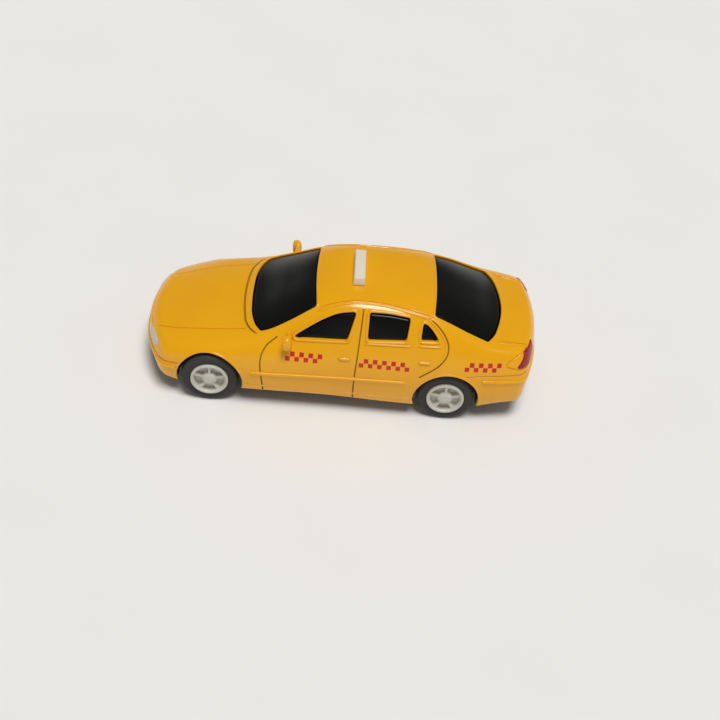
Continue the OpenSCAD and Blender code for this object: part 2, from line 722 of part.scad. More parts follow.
// One hub with its outer face at z = 0 and its boss towards -z
module hub() {
    rib_z = rim_out + tyre_w / 2;
    difference() {
        union() {
            translate([0, 0, -rim_out - tyre_w])
                cylinder(r = rim_r, h = rim_out + tyre_w);
            translate([0, 0, -rib_z - 0.6])
                cylinder(r = rim_r + 0.3, h = 1.2);
            translate([0, 0, boss_in_y - rim_face_y])
                cylinder(r = boss_r, h = rim_face_y - boss_in_y - 1);
        }
        difference() {
            translate([0, 0, -0.3])
                cylinder(r = rim_r - 0.6, h = 1);
            translate([0, 0, -1])
                cylinder(d = cap_d, h = 0.95);
        }
        translate([0, 0, -pocket_depth])
            linear_extrude(pocket_depth)
                difference() {
                    circle(r = rim_r - 0.6);
                    circle(d = cap_d + 0.3);
                    for (i = [0:spokes - 1])
                        rotate(90 + 360 * i / spokes)
                            translate([0, -spoke_w / 2])
                                square([rim_r, spoke_w]);
                }
        translate([0, 0, -rim_out - tyre_w - 1])
            difference() {
                cylinder(r = rim_r - 0.7, h = 2.6);
                cylinder(r = boss_r, h = 3);
            }
        translate([0, 0, -30])
            cylinder(r = axle_r, h = 30 - rim_face_y + axle_half_l);
    }
}

// One tyre with its outer face at z = 0
module tyre() {
    r = tyre_d / 2;
    rotate_extrude()
        difference() {
            union() {
                translate([rim_r, -tyre_w])
                    square([r - rim_r - 0.8, tyre_w]);
                translate([rim_r, -tyre_w + 0.8])
                    square([r - rim_r, tyre_w - 1.6]);
                for (z = [-0.8, -tyre_w + 0.8])
                    translate([r - 0.8, z])
                        circle(0.8);
            }
            translate([0, -tyre_w / 2 - 0.6])
                square([rim_r + 0.3, 1.2]);
            for (z = [-1.4, -tyre_w / 2, -tyre_w + 1.4])
                translate([r - 0.25, z - 0.15])
                    square([1, 0.3]);
        }
}

// Puts a wheel piece at an axle: s = 1 left, s = -1 right
module at_wheel(x, s, y) {
    translate([x, s * y, axle_z])
        rotate([-90 * s, 0, 0])
            children();
}

module hub_front_left() color([0.8, 0.79, 0.75]) {
    at_wheel(front_x, 1, rim_face_y)
        hub();
}

module hub_front_right() color([0.8, 0.79, 0.75]) {
    at_wheel(front_x, -1, rim_face_y)
        hub();
}

module hub_rear_left() color([0.8, 0.79, 0.75]) {
    at_wheel(rear_x, 1, rim_face_y)
        hub();
}

module hub_rear_right() color([0.8, 0.79, 0.75]) {
    at_wheel(rear_x, -1, rim_face_y)
        hub();
}

module tyre_front_left() color([0.2, 0.2, 0.2]) {
    at_wheel(front_x, 1, tyre_face_y)
        tyre();
}

module tyre_front_right() color([0.2, 0.2, 0.2]) {
    at_wheel(front_x, -1, tyre_face_y)
        tyre();
}

module tyre_rear_left() color([0.2, 0.2, 0.2]) {
    at_wheel(rear_x, 1, tyre_face_y)
        tyre();
}

module tyre_rear_right() color([0.2, 0.2, 0.2]) {
    at_wheel(rear_x, -1, tyre_face_y)
        tyre();
}

// Involute gear: half the angle of a tooth at radius r
function involute(a) = tan(a) * 180 / PI - a;
function tooth_angle(teeth, r) =
    let (p = pitch_r(teeth), b = p * cos(pressure))
    (90 / teeth - backlash / 4 / p * 180 / PI) + involute(pressure) - involute(acos(b / max(b, r)));
function polar(r, a) = [r * cos(a), r * sin(a)];

module gear_outline(teeth) {
    p = pitch_r(teeth);
    b = p * cos(pressure);
    t = tip_r(teeth);
    root = p - ded_f * gear_module;
    low = max(b, root + 0.01);
    radii = [root, low, (low + t) / 2, t];
    polygon([for (i = [0:teeth - 1], j = [0:7])
        let (r = radii[j < 4 ? j : 7 - j], s = j < 4 ? -1 : 1)
        polar(r, 360 * i / teeth + s * tooth_angle(teeth, r))]);
}

// A gear layer in the motor, from y0 to y0 + w
module gear_layer(teeth, turn, y0, w) {
    translate([0, y0 + w, 0])
        rotate([90, 0, 0])
            linear_extrude(w)
                rotate(turn)
                    gear_outline(teeth);
}

module shaft(r, y0, y1) {
    translate([0, y1, 0])
        rotate([90, 0, 0])
            cylinder(r = r, h = y1 - y0);
}

module axle_pinion() color([0.9, 0.9, 0.86]) {
    translate([rear_x, 0, axle_z])
        difference() {
            gear_layer(pinion_teeth, first_turn, wheel_y - 0.2, gear_w + 0.4);
            shaft(axle_r, -10, 10);
        }
}

module transfer_gear() color([0.9, 0.9, 0.86]) {
    translate([transfer_x, 0, transfer_z]) {
        gear_layer(transfer_teeth, first_turn + 180 + 180 / transfer_teeth, wheel_y, gear_w);
        gear_layer(step_teeth, second_turn, step_y, gear_w + 1.2);
        shaft(journal_d / 2, -case_w / 2 + 0.1, case_w / 2 - 0.1);
        shaft(journal_d / 2 + 0.4, -case_in_y + 0.15, -case_in_y + 0.6);
        shaft(journal_d / 2 + 0.4, step_y + gear_w, case_in_y - 0.15);
    }
}

module spring_gear() color([0.9, 0.9, 0.86]) {
    translate([spring_x, 0, spring_z])
        difference() {
            union() {
                gear_layer(spring_teeth, second_turn + 180 + 180 / spring_teeth, spring_gear_y, gear_w);
                shaft(journal_d / 2, -case_w / 2 + 0.1, case_w / 2 - 0.1);
                shaft(journal_d / 2 + 0.4, -case_in_y + 0.15, spring_gear_y);
                shaft(arbor_d / 2, spring_gear_y, case_in_y - 0.15);
            }
            translate([0, spring_y, -0.15])
                cube([3, spring_w, 0.3]);
        }
}

// Flat spring: one strip wound on the arbor, with its outer end held by the peg in the case
module mainspring() color([0.45, 0.47, 0.5]) {
    steps = floor(spring_turns * 20);
    grow = (spring_out_r - spring_in_r - spring_t) / steps;
    inner = [for (i = [0:steps]) polar(spring_in_r + grow * i, 18 * i)];
    outer = [for (i = [steps:-1:0]) polar(spring_in_r + spring_t + grow * i, 18 * i)];
    translate([spring_x, spring_y + spring_w, spring_z])
        rotate([90, 0, 0])
            linear_extrude(spring_w)
                polygon(concat(inner, outer));
}

// Side view of the motor case, larger by g
module case_outline(g) {
    offset(delta = g)
        polygon([[case_x0, case_z0], [case_x1, case_z0], [case_x1, case_z1], [transfer_x - 3, case_z1],
            [case_x0, axle_z + 4.6]]);
}

// Places of the pegs that join the two halves
case_pegs = [[case_x1 - case_t - 0.9, case_z1 - case_t - 0.9],
    [case_x1 - case_t - 0.9, case_z0 + case_t + 0.9],
    [case_x0 + case_t + 0.9, axle_z + 3.6]];

module case_half(s) {
    difference() {
        union() {
            difference() {
                case_block(0, s > 0 ? 0 : -case_w / 2, s > 0 ? case_w / 2 : 0);
                case_block(-case_t, s > 0 ? -1 : -case_in_y, s > 0 ? case_in_y : 1);
            }
            for (p = case_pegs)
                translate([p[0], 0, p[1]])
                    shaft(peg_r + 0.6, s > 0 ? 0 : -case_in_y - 0.2, s > 0 ? case_in_y + 0.2 : 0);
            for (x = [case_x0 - flange_w, case_x1 - 0.1])
                translate([x, s > 0 ? 0 : -flange_y, base_top + 0.02])
                    cube([flange_w + 0.1, flange_y, flange_t - 0.02]);
        }
        translate([rear_x, 0, axle_z])
            shaft(axle_r + run_gap, -20, 20);
        translate([transfer_x, 0, transfer_z])
            shaft(journal_d / 2 + run_gap, -20, 20);
        translate([spring_x, 0, spring_z])
            shaft(journal_d / 2 + run_gap, -20, 20);
    }
}

module case_block(g, y0, y1) {
    translate([0, y1, 0])
        rotate([90, 0, 0])
            linear_extrude(y1 - y0)
                case_outline(g);
}

module motor_case_left() color([0.88, 0.88, 0.84]) {
    difference() {
        union() {
            case_half(1);
            translate([spring_x, 0, spring_z + spring_out_r + 0.5])
                shaft(0.4, spring_y, case_in_y + 0.2);
        }
        for (p = case_pegs)
            translate([p[0], 0, p[1]])
                shaft(peg_r + fit_gap / 2, -1, peg_l + fit_gap);
    }
}

module motor_case_right() color([0.88, 0.88, 0.84]) {
    case_half(-1);
    for (p = case_pegs)
        translate([p[0], 0, p[1]])
            shaft(peg_r, -1, peg_l);
}

body_shell();
glazing();
roof_sign();
base_plate();
base_screws();
front_axle();
rear_axle();
hub_front_left();
hub_front_right();
hub_rear_left();
hub_rear_right();
tyre_front_left();
tyre_front_right();
tyre_rear_left();
tyre_rear_right();
motor_case_left();
motor_case_right();
axle_pinion();
transfer_gear();
spring_gear();
mainspring();
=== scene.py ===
"""Looks of the toy taxi: a cast and painted body shell with a dark glazing insert, a roof sign and four wheels,
built around the CAD frame. Sizes in the tables are millimetres; every object is in metres."""
import math

import bpy
from mathutils import Matrix, Vector
from mathutils.bvhtree import BVHTree


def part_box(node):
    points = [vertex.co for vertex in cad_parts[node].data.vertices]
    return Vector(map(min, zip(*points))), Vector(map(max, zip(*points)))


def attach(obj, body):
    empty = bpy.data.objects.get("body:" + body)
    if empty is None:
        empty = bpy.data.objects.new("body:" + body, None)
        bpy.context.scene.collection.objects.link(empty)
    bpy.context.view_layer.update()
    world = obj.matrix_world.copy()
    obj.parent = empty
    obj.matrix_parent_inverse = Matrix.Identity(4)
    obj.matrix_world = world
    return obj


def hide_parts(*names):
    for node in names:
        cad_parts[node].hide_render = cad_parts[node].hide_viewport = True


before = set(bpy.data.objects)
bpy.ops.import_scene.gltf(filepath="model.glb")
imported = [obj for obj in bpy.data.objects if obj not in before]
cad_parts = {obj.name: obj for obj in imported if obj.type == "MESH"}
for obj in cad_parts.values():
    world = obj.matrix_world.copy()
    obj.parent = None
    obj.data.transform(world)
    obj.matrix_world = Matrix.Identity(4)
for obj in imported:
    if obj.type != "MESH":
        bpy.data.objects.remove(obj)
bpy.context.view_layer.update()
MM = 0.001

# Camera of the photograph: its place in mm and its three axes
CAMERA_PLACE = (5.945, 209.053, 191.124)
CAMERA_RIGHT = (-0.99582334, -0.02913802, 0.08652661)
CAMERA_DOWN = (-0.0835012, 0.67393741, -0.73405444)
CAMERA_AHEAD = (-0.03692462, -0.73821362, -0.67355566)
LENS_MM = 67.5

# Body lines of the shell, from the tail to the nose: x, half width, height
SILL = [(-39.5, 13.6, 5.6), (-33, 14.4, 4.9), (-27, 15, 3.8), (-14, 15.1, 3.5), (2, 15.1, 4.1),
        (18, 15.1, 4), (28, 15, 4), (34, 14.2, 4), (39.5, 12.8, 4.1)]
FLANK = [(-39.5, 14, 7.4), (-33, 15, 6.9), (-24, 15.6, 6.3), (0, 15.75, 6.2), (24, 15.6, 6.3),
         (33, 14.8, 6.3), (39.5, 13.4, 6.3)]
WAIST = [(-39.5, 14.1, 10.3), (-33, 15.2, 10.5), (-24, 15.95, 10.2), (0, 16, 9.8), (24, 15.9, 9.5),
         (33, 15, 9), (39.5, 13.5, 8.6)]
SHOULDER = [(-39.5, 13.5, 13.8), (-33, 14.7, 14), (-24, 15.4, 14.1), (-10, 15.5, 13.9), (6, 15.4, 13.4),
            (18, 15.3, 12.7), (27, 15.1, 12), (34, 14.2, 11), (39.5, 12.6, 10.3)]
BELT = [(-39.5, 12.4, 16.4), (-34, 13, 16.9), (-28, 13.4, 17.2), (-20, 13.6, 17.6), (-10, 13.7, 17),
        (4, 13.6, 16.2), (12, 13.6, 15.6), (18, 13.8, 14.7), (27, 13.4, 13.4), (34, 12.4, 12.2), (39.5, 10.8, 11.4)]
RAIL = [(-39.5, 9.5, 17.2), (-35, 10.8, 17.5), (-30, 12, 17.9), (-26, 11.8, 19.2), (-20, 11, 21.6),
        (-15, 10.5, 23), (-8, 10.3, 23.6), (0, 10.2, 23.5), (4, 10.2, 22.7), (10, 11.3, 19.4), (15.5, 12.4, 16.4),
        (19, 12.2, 15.2), (27, 10.8, 14), (34, 9.4, 12.9), (39.5, 8, 11.9)]
CROWN = [(-39.5, 0, 17.4), (-36, 0, 17.7), (-33.5, 0, 17.9), (-31, 0, 18.6), (-26, 0, 20.7), (-20, 0, 22.8),
         (-16, 0, 23.6), (-10, 0, 24.1), (-3, 0, 24.2), (2, 0, 23.9), (6, 0, 23), (12, 0, 19.8), (17, 0, 16.9),
         (19, 0, 16.1), (24, 0, 15.2), (30, 0, 14.2), (36, 0, 12.9), (39.5, 0, 12.2)]
HALF_LENGTH = 39.24
# From a start in x the ends bow back over a half width, and lean back above and below a height over a reach
BOW_WIDTH = 14
FRONT_START, FRONT_BOW, NOSE_RAKE, NOSE_Z, NOSE_REACH = 22, 4.2, 1.1, 7.4, 5
REAR_START, REAR_BOW, TAIL_RAKE, TAIL_Z, TAIL_REACH = -16, 2.6, 1.0, 9.5, 8
# Rounded edges of the end faces: radius, half size of a face, share of the shrinking at the sill, start of the ends
END_R, END_SIZE, LOW_SHARE, END_START = 1.6, 13, 0.25, 30
# Shares of a full ring that close an end face, and shares of the half width that the flat bottom has points at
END_SHARES = (0.05, 0.2, 0.35, 0.5, 0.65, 0.78)
FOOT_SHARES = (0.2, 0.35, 0.5, 0.65, 0.8, 0.93)
# How far from the rail its two neighbours lie, and which way each control point of a cross section moves inwards
RAIL_SHARE = 0.22
INWARDS = [(1, 0), (1, 0), (1, 0), (0.95, 0.3), (0.75, 0.65), (0.65, 0.75), (0.3, 0.95), (0, 1), (0, 1)]
SHELL_T, INSIDE_DROP = 1.1, 6

# Window outlines from the side, x and height, and half outlines from above, x and half width
FRONT_GLASS = [(10.1, 16.55), (-1, 17.2), (-2.4, 22.4), (1.1, 21.9), (4.1, 20.5), (7.1, 18.6)]
REAR_GLASS = [(-4.8, 17.6), (-12.5, 18.1), (-12.9, 22.1), (-9, 22.5), (-4.8, 22.5)]
QUARTER_GLASS = [(-15.1, 18.4), (-18.9, 18.6), (-17.9, 19.9), (-16.7, 21), (-15.3, 21.6)]
WIND_SCREEN = [(18.6, 0), (18.3, 6.2), (17.3, 9.6), (16, 11.5), (13.8, 11.5), (10.3, 10.7), (5.5, 9.3), (5.9, 4),
               (6, 0)]
BACK_LIGHT = [(-17.9, 0), (-17.8, 5), (-17.5, 9.7), (-23.1, 10.7), (-28.5, 11.2), (-30, 9), (-31.2, 4.6), (-31.7, 0)]
SIDE_GLASS, TOP_GLASS = (FRONT_GLASS, REAR_GLASS, QUARTER_GLASS), (WIND_SCREEN, BACK_LIGHT)
# Half widths and heights that the openings are cut over, and how far outside them the raised frames run
SIDE_CUT_Y, TOP_CUT_Z = (6, 20), (13, 28)
SIDE_FRAME_OUT, TOP_FRAME_OUT = 0.22, 0.24
# Panes: gap to the opening, rings of the edge (how far inside the outline, how high over the skin), and the back
PANE_GAP = 0.2
PANE_EDGE = [(-0.8, -1.9), (-0.8, -1.25), (0, -1.2), (0, -0.6), (0.04, -0.45), (0.12, -0.36), (0.26, -0.31),
             (0.5, -0.3)]
PANE_BACK = -1.9

# Moulded lines from the side, x and height
DOOR_FRONT = [(12.6, 16.5), (14.6, 15), (15.5, 13.4), (15.7, 11.4), (15, 6.4), (14.8, 3.9)]
DOOR_MIDDLE = [(-3.6, 22.9), (-3.2, 15), (-2.9, 9.5), (-3.1, 3.7)]
DOOR_REAR = [(-16.4, 22.2), (-18.3, 21.1), (-20, 19.5), (-20.8, 17.8), (-20.6, 16), (-19.1, 14.1), (-15.6, 11.5)]
BUMPER_REAR = [(-24.8, 12.1), (-28.7, 12.6), (-37.6, 12.6)]
LAMP_REAR = [(-37.4, 13.7), (-34.6, 13.8), (-32, 14.7), (-34.1, 16.1), (-36.2, 16.9)]
BUMPER_FRONT = [(36.2, 8.2), (34, 8.4), (29.6, 9.2)]
# Moulded lines from above, x and half width
COWL_EDGE = [(20, 0), (19.8, 4.3), (19.2, 8.5), (18, 10.7), (16.6, 12)]
BONNET_EDGE = [(18.6, 10.2), (26, 9.9), (33, 8.8), (36.6, 7.6)]
BOOT_EDGE = [(-30.6, 10.4), (-36.6, 9.8)]
ROOF_EDGE = [(5.3, 9.8), (1.3, 9), (-3.3, 8.6), (-8, 8.8), (-12.8, 9.6), (-17.3, 10.1)]
# Strips, ridges and handles that stand out of the flanks: middle lines, x and height
FLANK_STRIP = [(17.6, 9.1), (-13.2, 9.9)]
REAR_STRIP = [(-27.9, 11.35), (-37.4, 10.9)]
FRONT_STRIP = [(32.4, 7.3), (36.3, 7.1)]
SILL_RIDGE = [(18.9, 5.6), (8, 5.5), (-14.6, 5.3)]
BELT_RIDGES = [[(-4.2, 17.05), (-13.6, 17.4)], [(-14.7, 17.6), (-19.4, 17.7)]]
HANDLES = [[(0.6, 14), (-2, 14.05)], [(-15, 14.65), (-17.6, 14.7)]]
# How far beside their moulded lines the ridges of the rear door, and of the roof and the boot, run
DOOR_RIDGE_OUT, TOP_RIDGE_OUT = 0.45, 0.42
# Lines on the ends, y and height
TAIL_LINE = [(-12.3, 12.6), (12.3, 12.6)]
TAIL_EDGES = [[(-9.4, 16.5), (-9.1, 12.9)], [(9.4, 16.5), (9.1, 12.9)]]
NOSE_LINES = [[(-12, 8.2), (12, 8.2)], [(-6.1, 11), (6.1, 11)]]
TAIL_STRIP = [(-13, 10.9), (13, 10.9)]
NOSE_STRIP = [(-12.3, 7.1), (12.3, 7.1)]
PLATE_PLACE = [(-4.4, 13.3), (4.4, 13.3), (4.4, 15.5), (-4.4, 15.5)]
FRONT_LAMP = [(6.4, 9.05), (11, 9.3), (10.6, 10.8), (6.6, 11.05)]
# Tail lamp seen from the corner of the car, half way between side and back: place across and height
TAIL_LAMP = [(-20.9, 13.75), (-14.6, 14.05), (-17.05, 16.75), (-21, 16.9)]
# Lamp faces: rings of the edge and the back, as for the panes
LAMP_EDGE = [(0, -0.2), (0, 0.02), (0.05, 0.08), (0.14, 0.12), (0.3, 0.13)]
LAMP_BACK = -0.3
# Slots of the nose: height of the middle, width and height of each, and the x that all are cut over
SLOTS = [(8.75, 8, 0.4), (9.5, 8, 0.4), (10.25, 8, 0.4), (5.75, 10, 0.7)]
SLOT_CUT_X = (HALF_LENGTH - 0.9, HALF_LENGTH + 3)

# Left door mirror: middle and size of the housing, inner limit of its front face, and the steps of its foot
MIRROR_PLACE, MIRROR_SIZE, MIRROR_INNER_Y = (10.35, 15.4, 16.9), (1.7, 2.3, 3.4), 14.7
MIRROR_FOOT = [(0.15, 1.4, -0.35), (0.1, 1.2, -0.3)]
# Roof sign: height of the roof under it, shares of its foot that the top keeps, and radius of its edges
ROOF_Z, SIGN_TOP, SIGN_EDGE = 24.2, (0.86, 0.96, 1), 0.22

# Printed bands: middle and half length along the car, height of the line between its two rows of squares
PRINT_BANDS = [(7.2, 3.6, 13.5), (-8.55, 4.95, 13.5), (-27.9, 3.6, 14.4)]
PRINT_SQUARE = 0.9

# Wheels and their arches
AXLE_Z = 5.7
FRONT_X, REAR_X = 25.5, -21.5
ARCH_R, ARCH_CUT_Y, LIP_OUT = 6.6, (9.9, 20), 0.22
RIM_FACE_Y, TYRE_FACE_Y, TYRE_W = 15.45, 15.1, 4.4
# Hub pockets: number of spokes between them, radii, half angle of a spoke in degrees, and depth
SPOKES, POCKET_R, HALF_SPOKE, POCKET_DEPTH = 5, (1.5, 3.0), 8.9, 0.9

# Lines on the skin: radius of their corners and gap between their points
CORNER_R, PATH_GAP = 0.5, 0.3
# Shares of a pad's outline that carry its middle
PAD_SHARES = (0.92, 0.84, 0.76, 0.67, 0.58, 0.48, 0.38, 0.28, 0.18, 0.08)
# Where the rays that find places on the skin start, in metres from the middle of the car
SIDE_FROM, TOP_FROM, END_FROM, CORNER_FROM = 0.05, 0.06, 0.08, 0.1

# Key light: its way, its angle and its strength
KEY_WAY, KEY_ANGLE, KEY_STRENGTH = (0.06, -0.13, -0.54), 0.42, 2.3
# Light of the room: where it starts and ends to fall off, from the horizon up, and its strength there
ROOM_RISE, ROOM_STRENGTH = (0.02, 0.4), (0.75, 0.2)


# The shell is a loft through its body lines, which no primitive gives, so its mesh is written point by point

def line_slope(line, j):
    """Slope of a body line at its point j, per mm of x."""
    def step(a, b):
        return [(b[i] - a[i]) / (b[0] - a[0]) for i in (0, 1, 2)]
    if j == 0:
        return step(line[0], line[1])
    if j == len(line) - 1:
        return step(line[j - 1], line[j])
    a, b = line[j][0] - line[j - 1][0], line[j + 1][0] - line[j][0]
    before, after = step(line[j - 1], line[j]), step(line[j], line[j + 1])
    return [(before[i] * b + after[i] * a) / (a + b) for i in (0, 1, 2)]


def line_at(line, x):
    """Half width and height of a body line at x."""
    x = min(max(x, line[0][0]), line[-1][0])
    i = max(j for j in range(len(line) - 1) if line[j][0] <= x)
    h = line[i + 1][0] - line[i][0]
    t = (x - line[i][0]) / h
    s0, s1 = line_slope(line, i), line_slope(line, i + 1)
    return [(2 * t ** 3 - 3 * t ** 2 + 1) * line[i][c] + (t ** 3 - 2 * t ** 2 + t) * h * s0[c]
            + (3 * t ** 2 - 2 * t ** 3) * line[i + 1][c] + (t ** 3 - t ** 2) * h * s1[c] for c in (1, 2)]


def control_points(x, d):
    """Control points of the cross section at x, moved inwards by d."""
    sill, flank, waist, shoulder, belt, rail, crown = (
        line_at(line, x) for line in (SILL, FLANK, WAIST, SHOULDER, BELT, RAIL, CROWN))
    top = (rail[0] / 2, crown[1])
    below = [rail[i] + RAIL_SHARE * (belt[i] - rail[i]) for i in (0, 1)]
    above = [rail[i] + RAIL_SHARE * (top[i] - rail[i]) for i in (0, 1)]
    points = (sill, flank, waist, shoulder, belt, below, above, top, (0, crown[1]))
    return [(y - in_y * d, z - in_z * d) for (y, z), (in_y, in_z) in zip(points, INWARDS)]


def curve_at(p, t):
    """Point at t on the smooth curve that starts and ends on the outer control points."""
    n = len(p) + 1
    i = min(int(t * n), n - 1)
    u = t * n - i
    q = [p[min(max(i + j - 2, 0), len(p) - 1)] for j in range(4)]
    w = ((1 - u) ** 3, 3 * u ** 3 - 6 * u ** 2 + 4, 1 + 3 * u + 3 * u ** 2 - 3 * u ** 3, u ** 3)
    return [sum(w[j] * q[j][c] for j in range(4)) / 6 for c in (0, 1)]


def bowed(x, y, z):
    """x of a point after the ends are bowed back towards the corners and leaned back above and below the bumpers."""
    front = max(0, (x - FRONT_START) / (HALF_LENGTH - FRONT_START)) ** 2
    rear = max(0, (REAR_START - x) / (HALF_LENGTH + REAR_START)) ** 2
    return (x - front * (FRONT_BOW * (y / BOW_WIDTH) ** 2 + NOSE_RAKE * ((z - NOSE_Z) / NOSE_REACH) ** 2)
            + rear * (REAR_BOW * (y / BOW_WIDTH) ** 2 + TAIL_RAKE * ((z - TAIL_Z) / TAIL_REACH) ** 2))


def ring(x, k, d, drop, n):
    """One ring of the skin at station x, shrunk to the share k, d inside the outer face and carried down by drop."""
    if abs(x) >= END_START:
        reach = (HALF_LENGTH - END_START - d) / (HALF_LENGTH - END_START)
        x = math.copysign(END_START + (abs(x) - END_START) * reach, x)
    p = control_points(x, d)
    middle = (p[0][1] + p[-1][1]) / 2
    # On the end faces the rings keep the shape of the first ring of the rounded edge
    edge = 1 - END_R / END_SIZE
    high = 1 - (1 - max(k, edge)) * END_SIZE / (p[-1][1] - middle)
    low = 1 - (1 - high) * LOW_SHARE
    if k < edge:
        high, low = high * k / edge, low * k / edge
    half = []
    for i in range(n + 1):
        y, z = curve_at(p, i / n)
        half.append((y * k, middle + (z - middle) * (high if z > middle else low)))
    sill_y, sill_z = half[0]
    foot = [(sill_y * share, sill_z - drop) for share in FOOT_SHARES + ((1,) if drop > 0 else ())]
    left = foot + half
    right = [(-y, z) for y, z in left[-2::-1]]
    return [Vector((bowed(x, y, max(z, sill_z)), y, z)) * MM for y, z in left + right]


def band(a, b, w):
    """Faces between two rings of w points each, which start at the points a and b."""
    return [(a + j, a + (j + 1) % w, b + (j + 1) % w, b + j) for j in range(w)]


def skin(name, d, drop, step, n):
    """Closed skin of the body, d inside its outer face, with a ring at each step and n parts in each half ring."""
    straight = (HALF_LENGTH - END_R) * 2
    count = int(straight / step)
    arcs = [math.radians(a) for a in (90, 72, 54, 36, 18)]
    tail = [(-HALF_LENGTH, k) for k in END_SHARES]
    tail += [(-HALF_LENGTH + END_R * (1 - math.sin(a)), 1 - END_R * (1 - math.cos(a)) / END_SIZE) for a in arcs]
    middle = [(-HALF_LENGTH + END_R + straight * i / count, 1) for i in range(count + 1)]
    stations = tail + middle + [(-x, k) for x, k in reversed(tail)]
    rows = [ring(x, k, d, drop, n) for x, k in stations]
    w = len(rows[0])
    faces = [face for i in range(len(rows) - 1) for face in band(i * w, (i + 1) * w, w)]
    faces += [tuple(range(w))[::-1], tuple(range((len(rows) - 1) * w, len(rows) * w))]
    return mesh_object(name, [p for row in rows for p in row], faces)


def mesh_object(name, points, faces):
    """A new mesh object with its faces turned outwards."""
    data = bpy.data.meshes.new(name)
    data.from_pydata(points, [], faces)
    made = bpy.data.objects.new(name, data)
    bpy.context.scene.collection.objects.link(made)
    only(made)
    bpy.ops.object.mode_set(mode="EDIT")
    bpy.ops.mesh.select_all(action="SELECT")
    bpy.ops.mesh.normals_make_consistent(inside=False)
    bpy.ops.object.mode_set(mode="OBJECT")
    # The operator can take a bowed end for the inside, so a solid with a negative volume is turned over
    volume = 0.0
    for face in data.polygons:
        a, *rest = [data.vertices[i].co for i in face.vertices]
        volume += sum(a.dot(b.cross(c)) for b, c in zip(rest, rest[1:]))
    if volume < 0:
        bpy.ops.object.mode_set(mode="EDIT")
        bpy.ops.mesh.flip_normals()
        bpy.ops.object.mode_set(mode="OBJECT")
    return made


def only(piece):
    """Selects one object and makes it the active one."""
    bpy.ops.object.select_all(action="DESELECT")
    piece.select_set(True)
    bpy.context.view_layer.objects.active = piece


def joined(pieces, name):
    """Several objects as one."""
    only(pieces[0])
    for piece in pieces[1:]:
        piece.select_set(True)
    bpy.ops.object.join()
    pieces[0].name = name
    return pieces[0]


def boolean(target, tool, operation, crossing):
    """Applies a boolean to the target and removes the tool; crossing says that pieces of the tool cross each other."""
    only(target)
    change = target.modifiers.new(operation.lower(), "BOOLEAN")
    change.operation = operation
    change.object = tool
    change.solver = "EXACT"
    change.use_self = crossing
    change.material_mode = "TRANSFER"
    bpy.ops.object.modifier_apply(modifier=change.name)
    bpy.data.objects.remove(tool)


def smooth(piece, degrees):
    """Smooth shading up to an edge angle."""
    only(piece)
    bpy.ops.object.shade_smooth_by_angle(angle=math.radians(degrees))


def select_faces(piece, wanted):
    """Leaves a piece in edit mode with only the wanted faces selected."""
    only(piece)
    bpy.ops.object.mode_set(mode="EDIT")
    bpy.ops.mesh.select_mode(type="FACE")
    bpy.ops.mesh.select_all(action="DESELECT")
    bpy.ops.object.mode_set(mode="OBJECT")
    for face in piece.data.polygons:
        face.select = wanted(face)
    bpy.ops.object.mode_set(mode="EDIT")


def soft_edges(piece, width, segments, degrees):
    """Rounds the edges that are sharper than an angle, over a width in mm."""
    only(piece)
    change = piece.modifiers.new("soft_edges", "BEVEL")
    change.width = width * MM
    change.segments = segments
    change.limit_method = "ANGLE"
    change.angle_limit = math.radians(degrees)
    bpy.ops.object.modifier_apply(modifier=change.name)


def block(middle, size):
    """A box in metres, with its place and size in its mesh."""
    bpy.ops.object.select_all(action="DESELECT")
    bpy.ops.mesh.primitive_cube_add(size=1, location=middle)
    made = bpy.context.active_object
    made.scale = size
    bpy.ops.object.transform_apply(location=True, rotation=False, scale=True)
    return made


def mirrored(half):
    """Full outline from a half outline drawn from above."""
    return half + [(x, -y) for x, y in half[-2:0:-1]]


def softened(points, radius, closed):
    """A line with rounded corners: sharp corners get the radius, shallow ones the largest rounding that fits."""
    # Turn in radians from which a corner is sharp, and share of its shorter side that a rounding may take
    sharp, share = 0.7, 0.45
    out = []
    n = len(points)
    for i, p in enumerate(points):
        p = Vector(p)
        if not closed and i in (0, n - 1):
            out.append(p)
            continue
        a, b = Vector(points[i - 1]) - p, Vector(points[(i + 1) % n]) - p
        turn = math.pi - a.angle(b)
        room = share * min(a.length, b.length)
        t = min(room, radius * math.tan(turn / 2)) if turn > sharp else room
        start, end = p + a.normalized() * t, p + b.normalized() * t
        for s in (0, 0.2, 0.4, 0.6, 0.8, 1):
            out.append(start * (1 - s) ** 2 + p * 2 * s * (1 - s) + end * s ** 2)
    return out


def spaced(points, gap, closed):
    """The same line with points at an even gap."""
    line = [Vector(p) for p in points] + ([Vector(points[0])] if closed else [])
    length = sum((b - a).length for a, b in zip(line, line[1:]))
    count = max(2, round(length / gap))
    out, at, i = [], 0.0, 0
    for k in range(count if closed else count + 1):
        goal = length * k / count
        while i < len(line) - 2 and at + (line[i + 1] - line[i]).length < goal:
            at += (line[i + 1] - line[i]).length
            i += 1
        piece = line[i + 1] - line[i]
        share = min(1.0, (goal - at) / piece.length) if piece.length else 0.0
        out.append(line[i] + piece * share)
    return out


def grown(points, by):
    """A closed outline moved outwards by a distance."""
    area = sum(a[0] * b[1] - b[0] * a[1] for a, b in zip(points, points[1:] + points[:1]))
    way = 1 if area > 0 else -1
    n = len(points)
    out = []
    for i, p in enumerate(points):
        a, b = Vector(points[i - 1]), Vector(points[(i + 1) % n])
        along = (b - a).normalized()
        out.append(Vector(p) + Vector((along.y, -along.x)) * way * by)
    return out


def around_axle(x, radius, angles):
    """Points around the axle at x, seen from the side."""
    return [(x + radius * math.cos(a), AXLE_Z + radius * math.sin(a)) for a in angles]


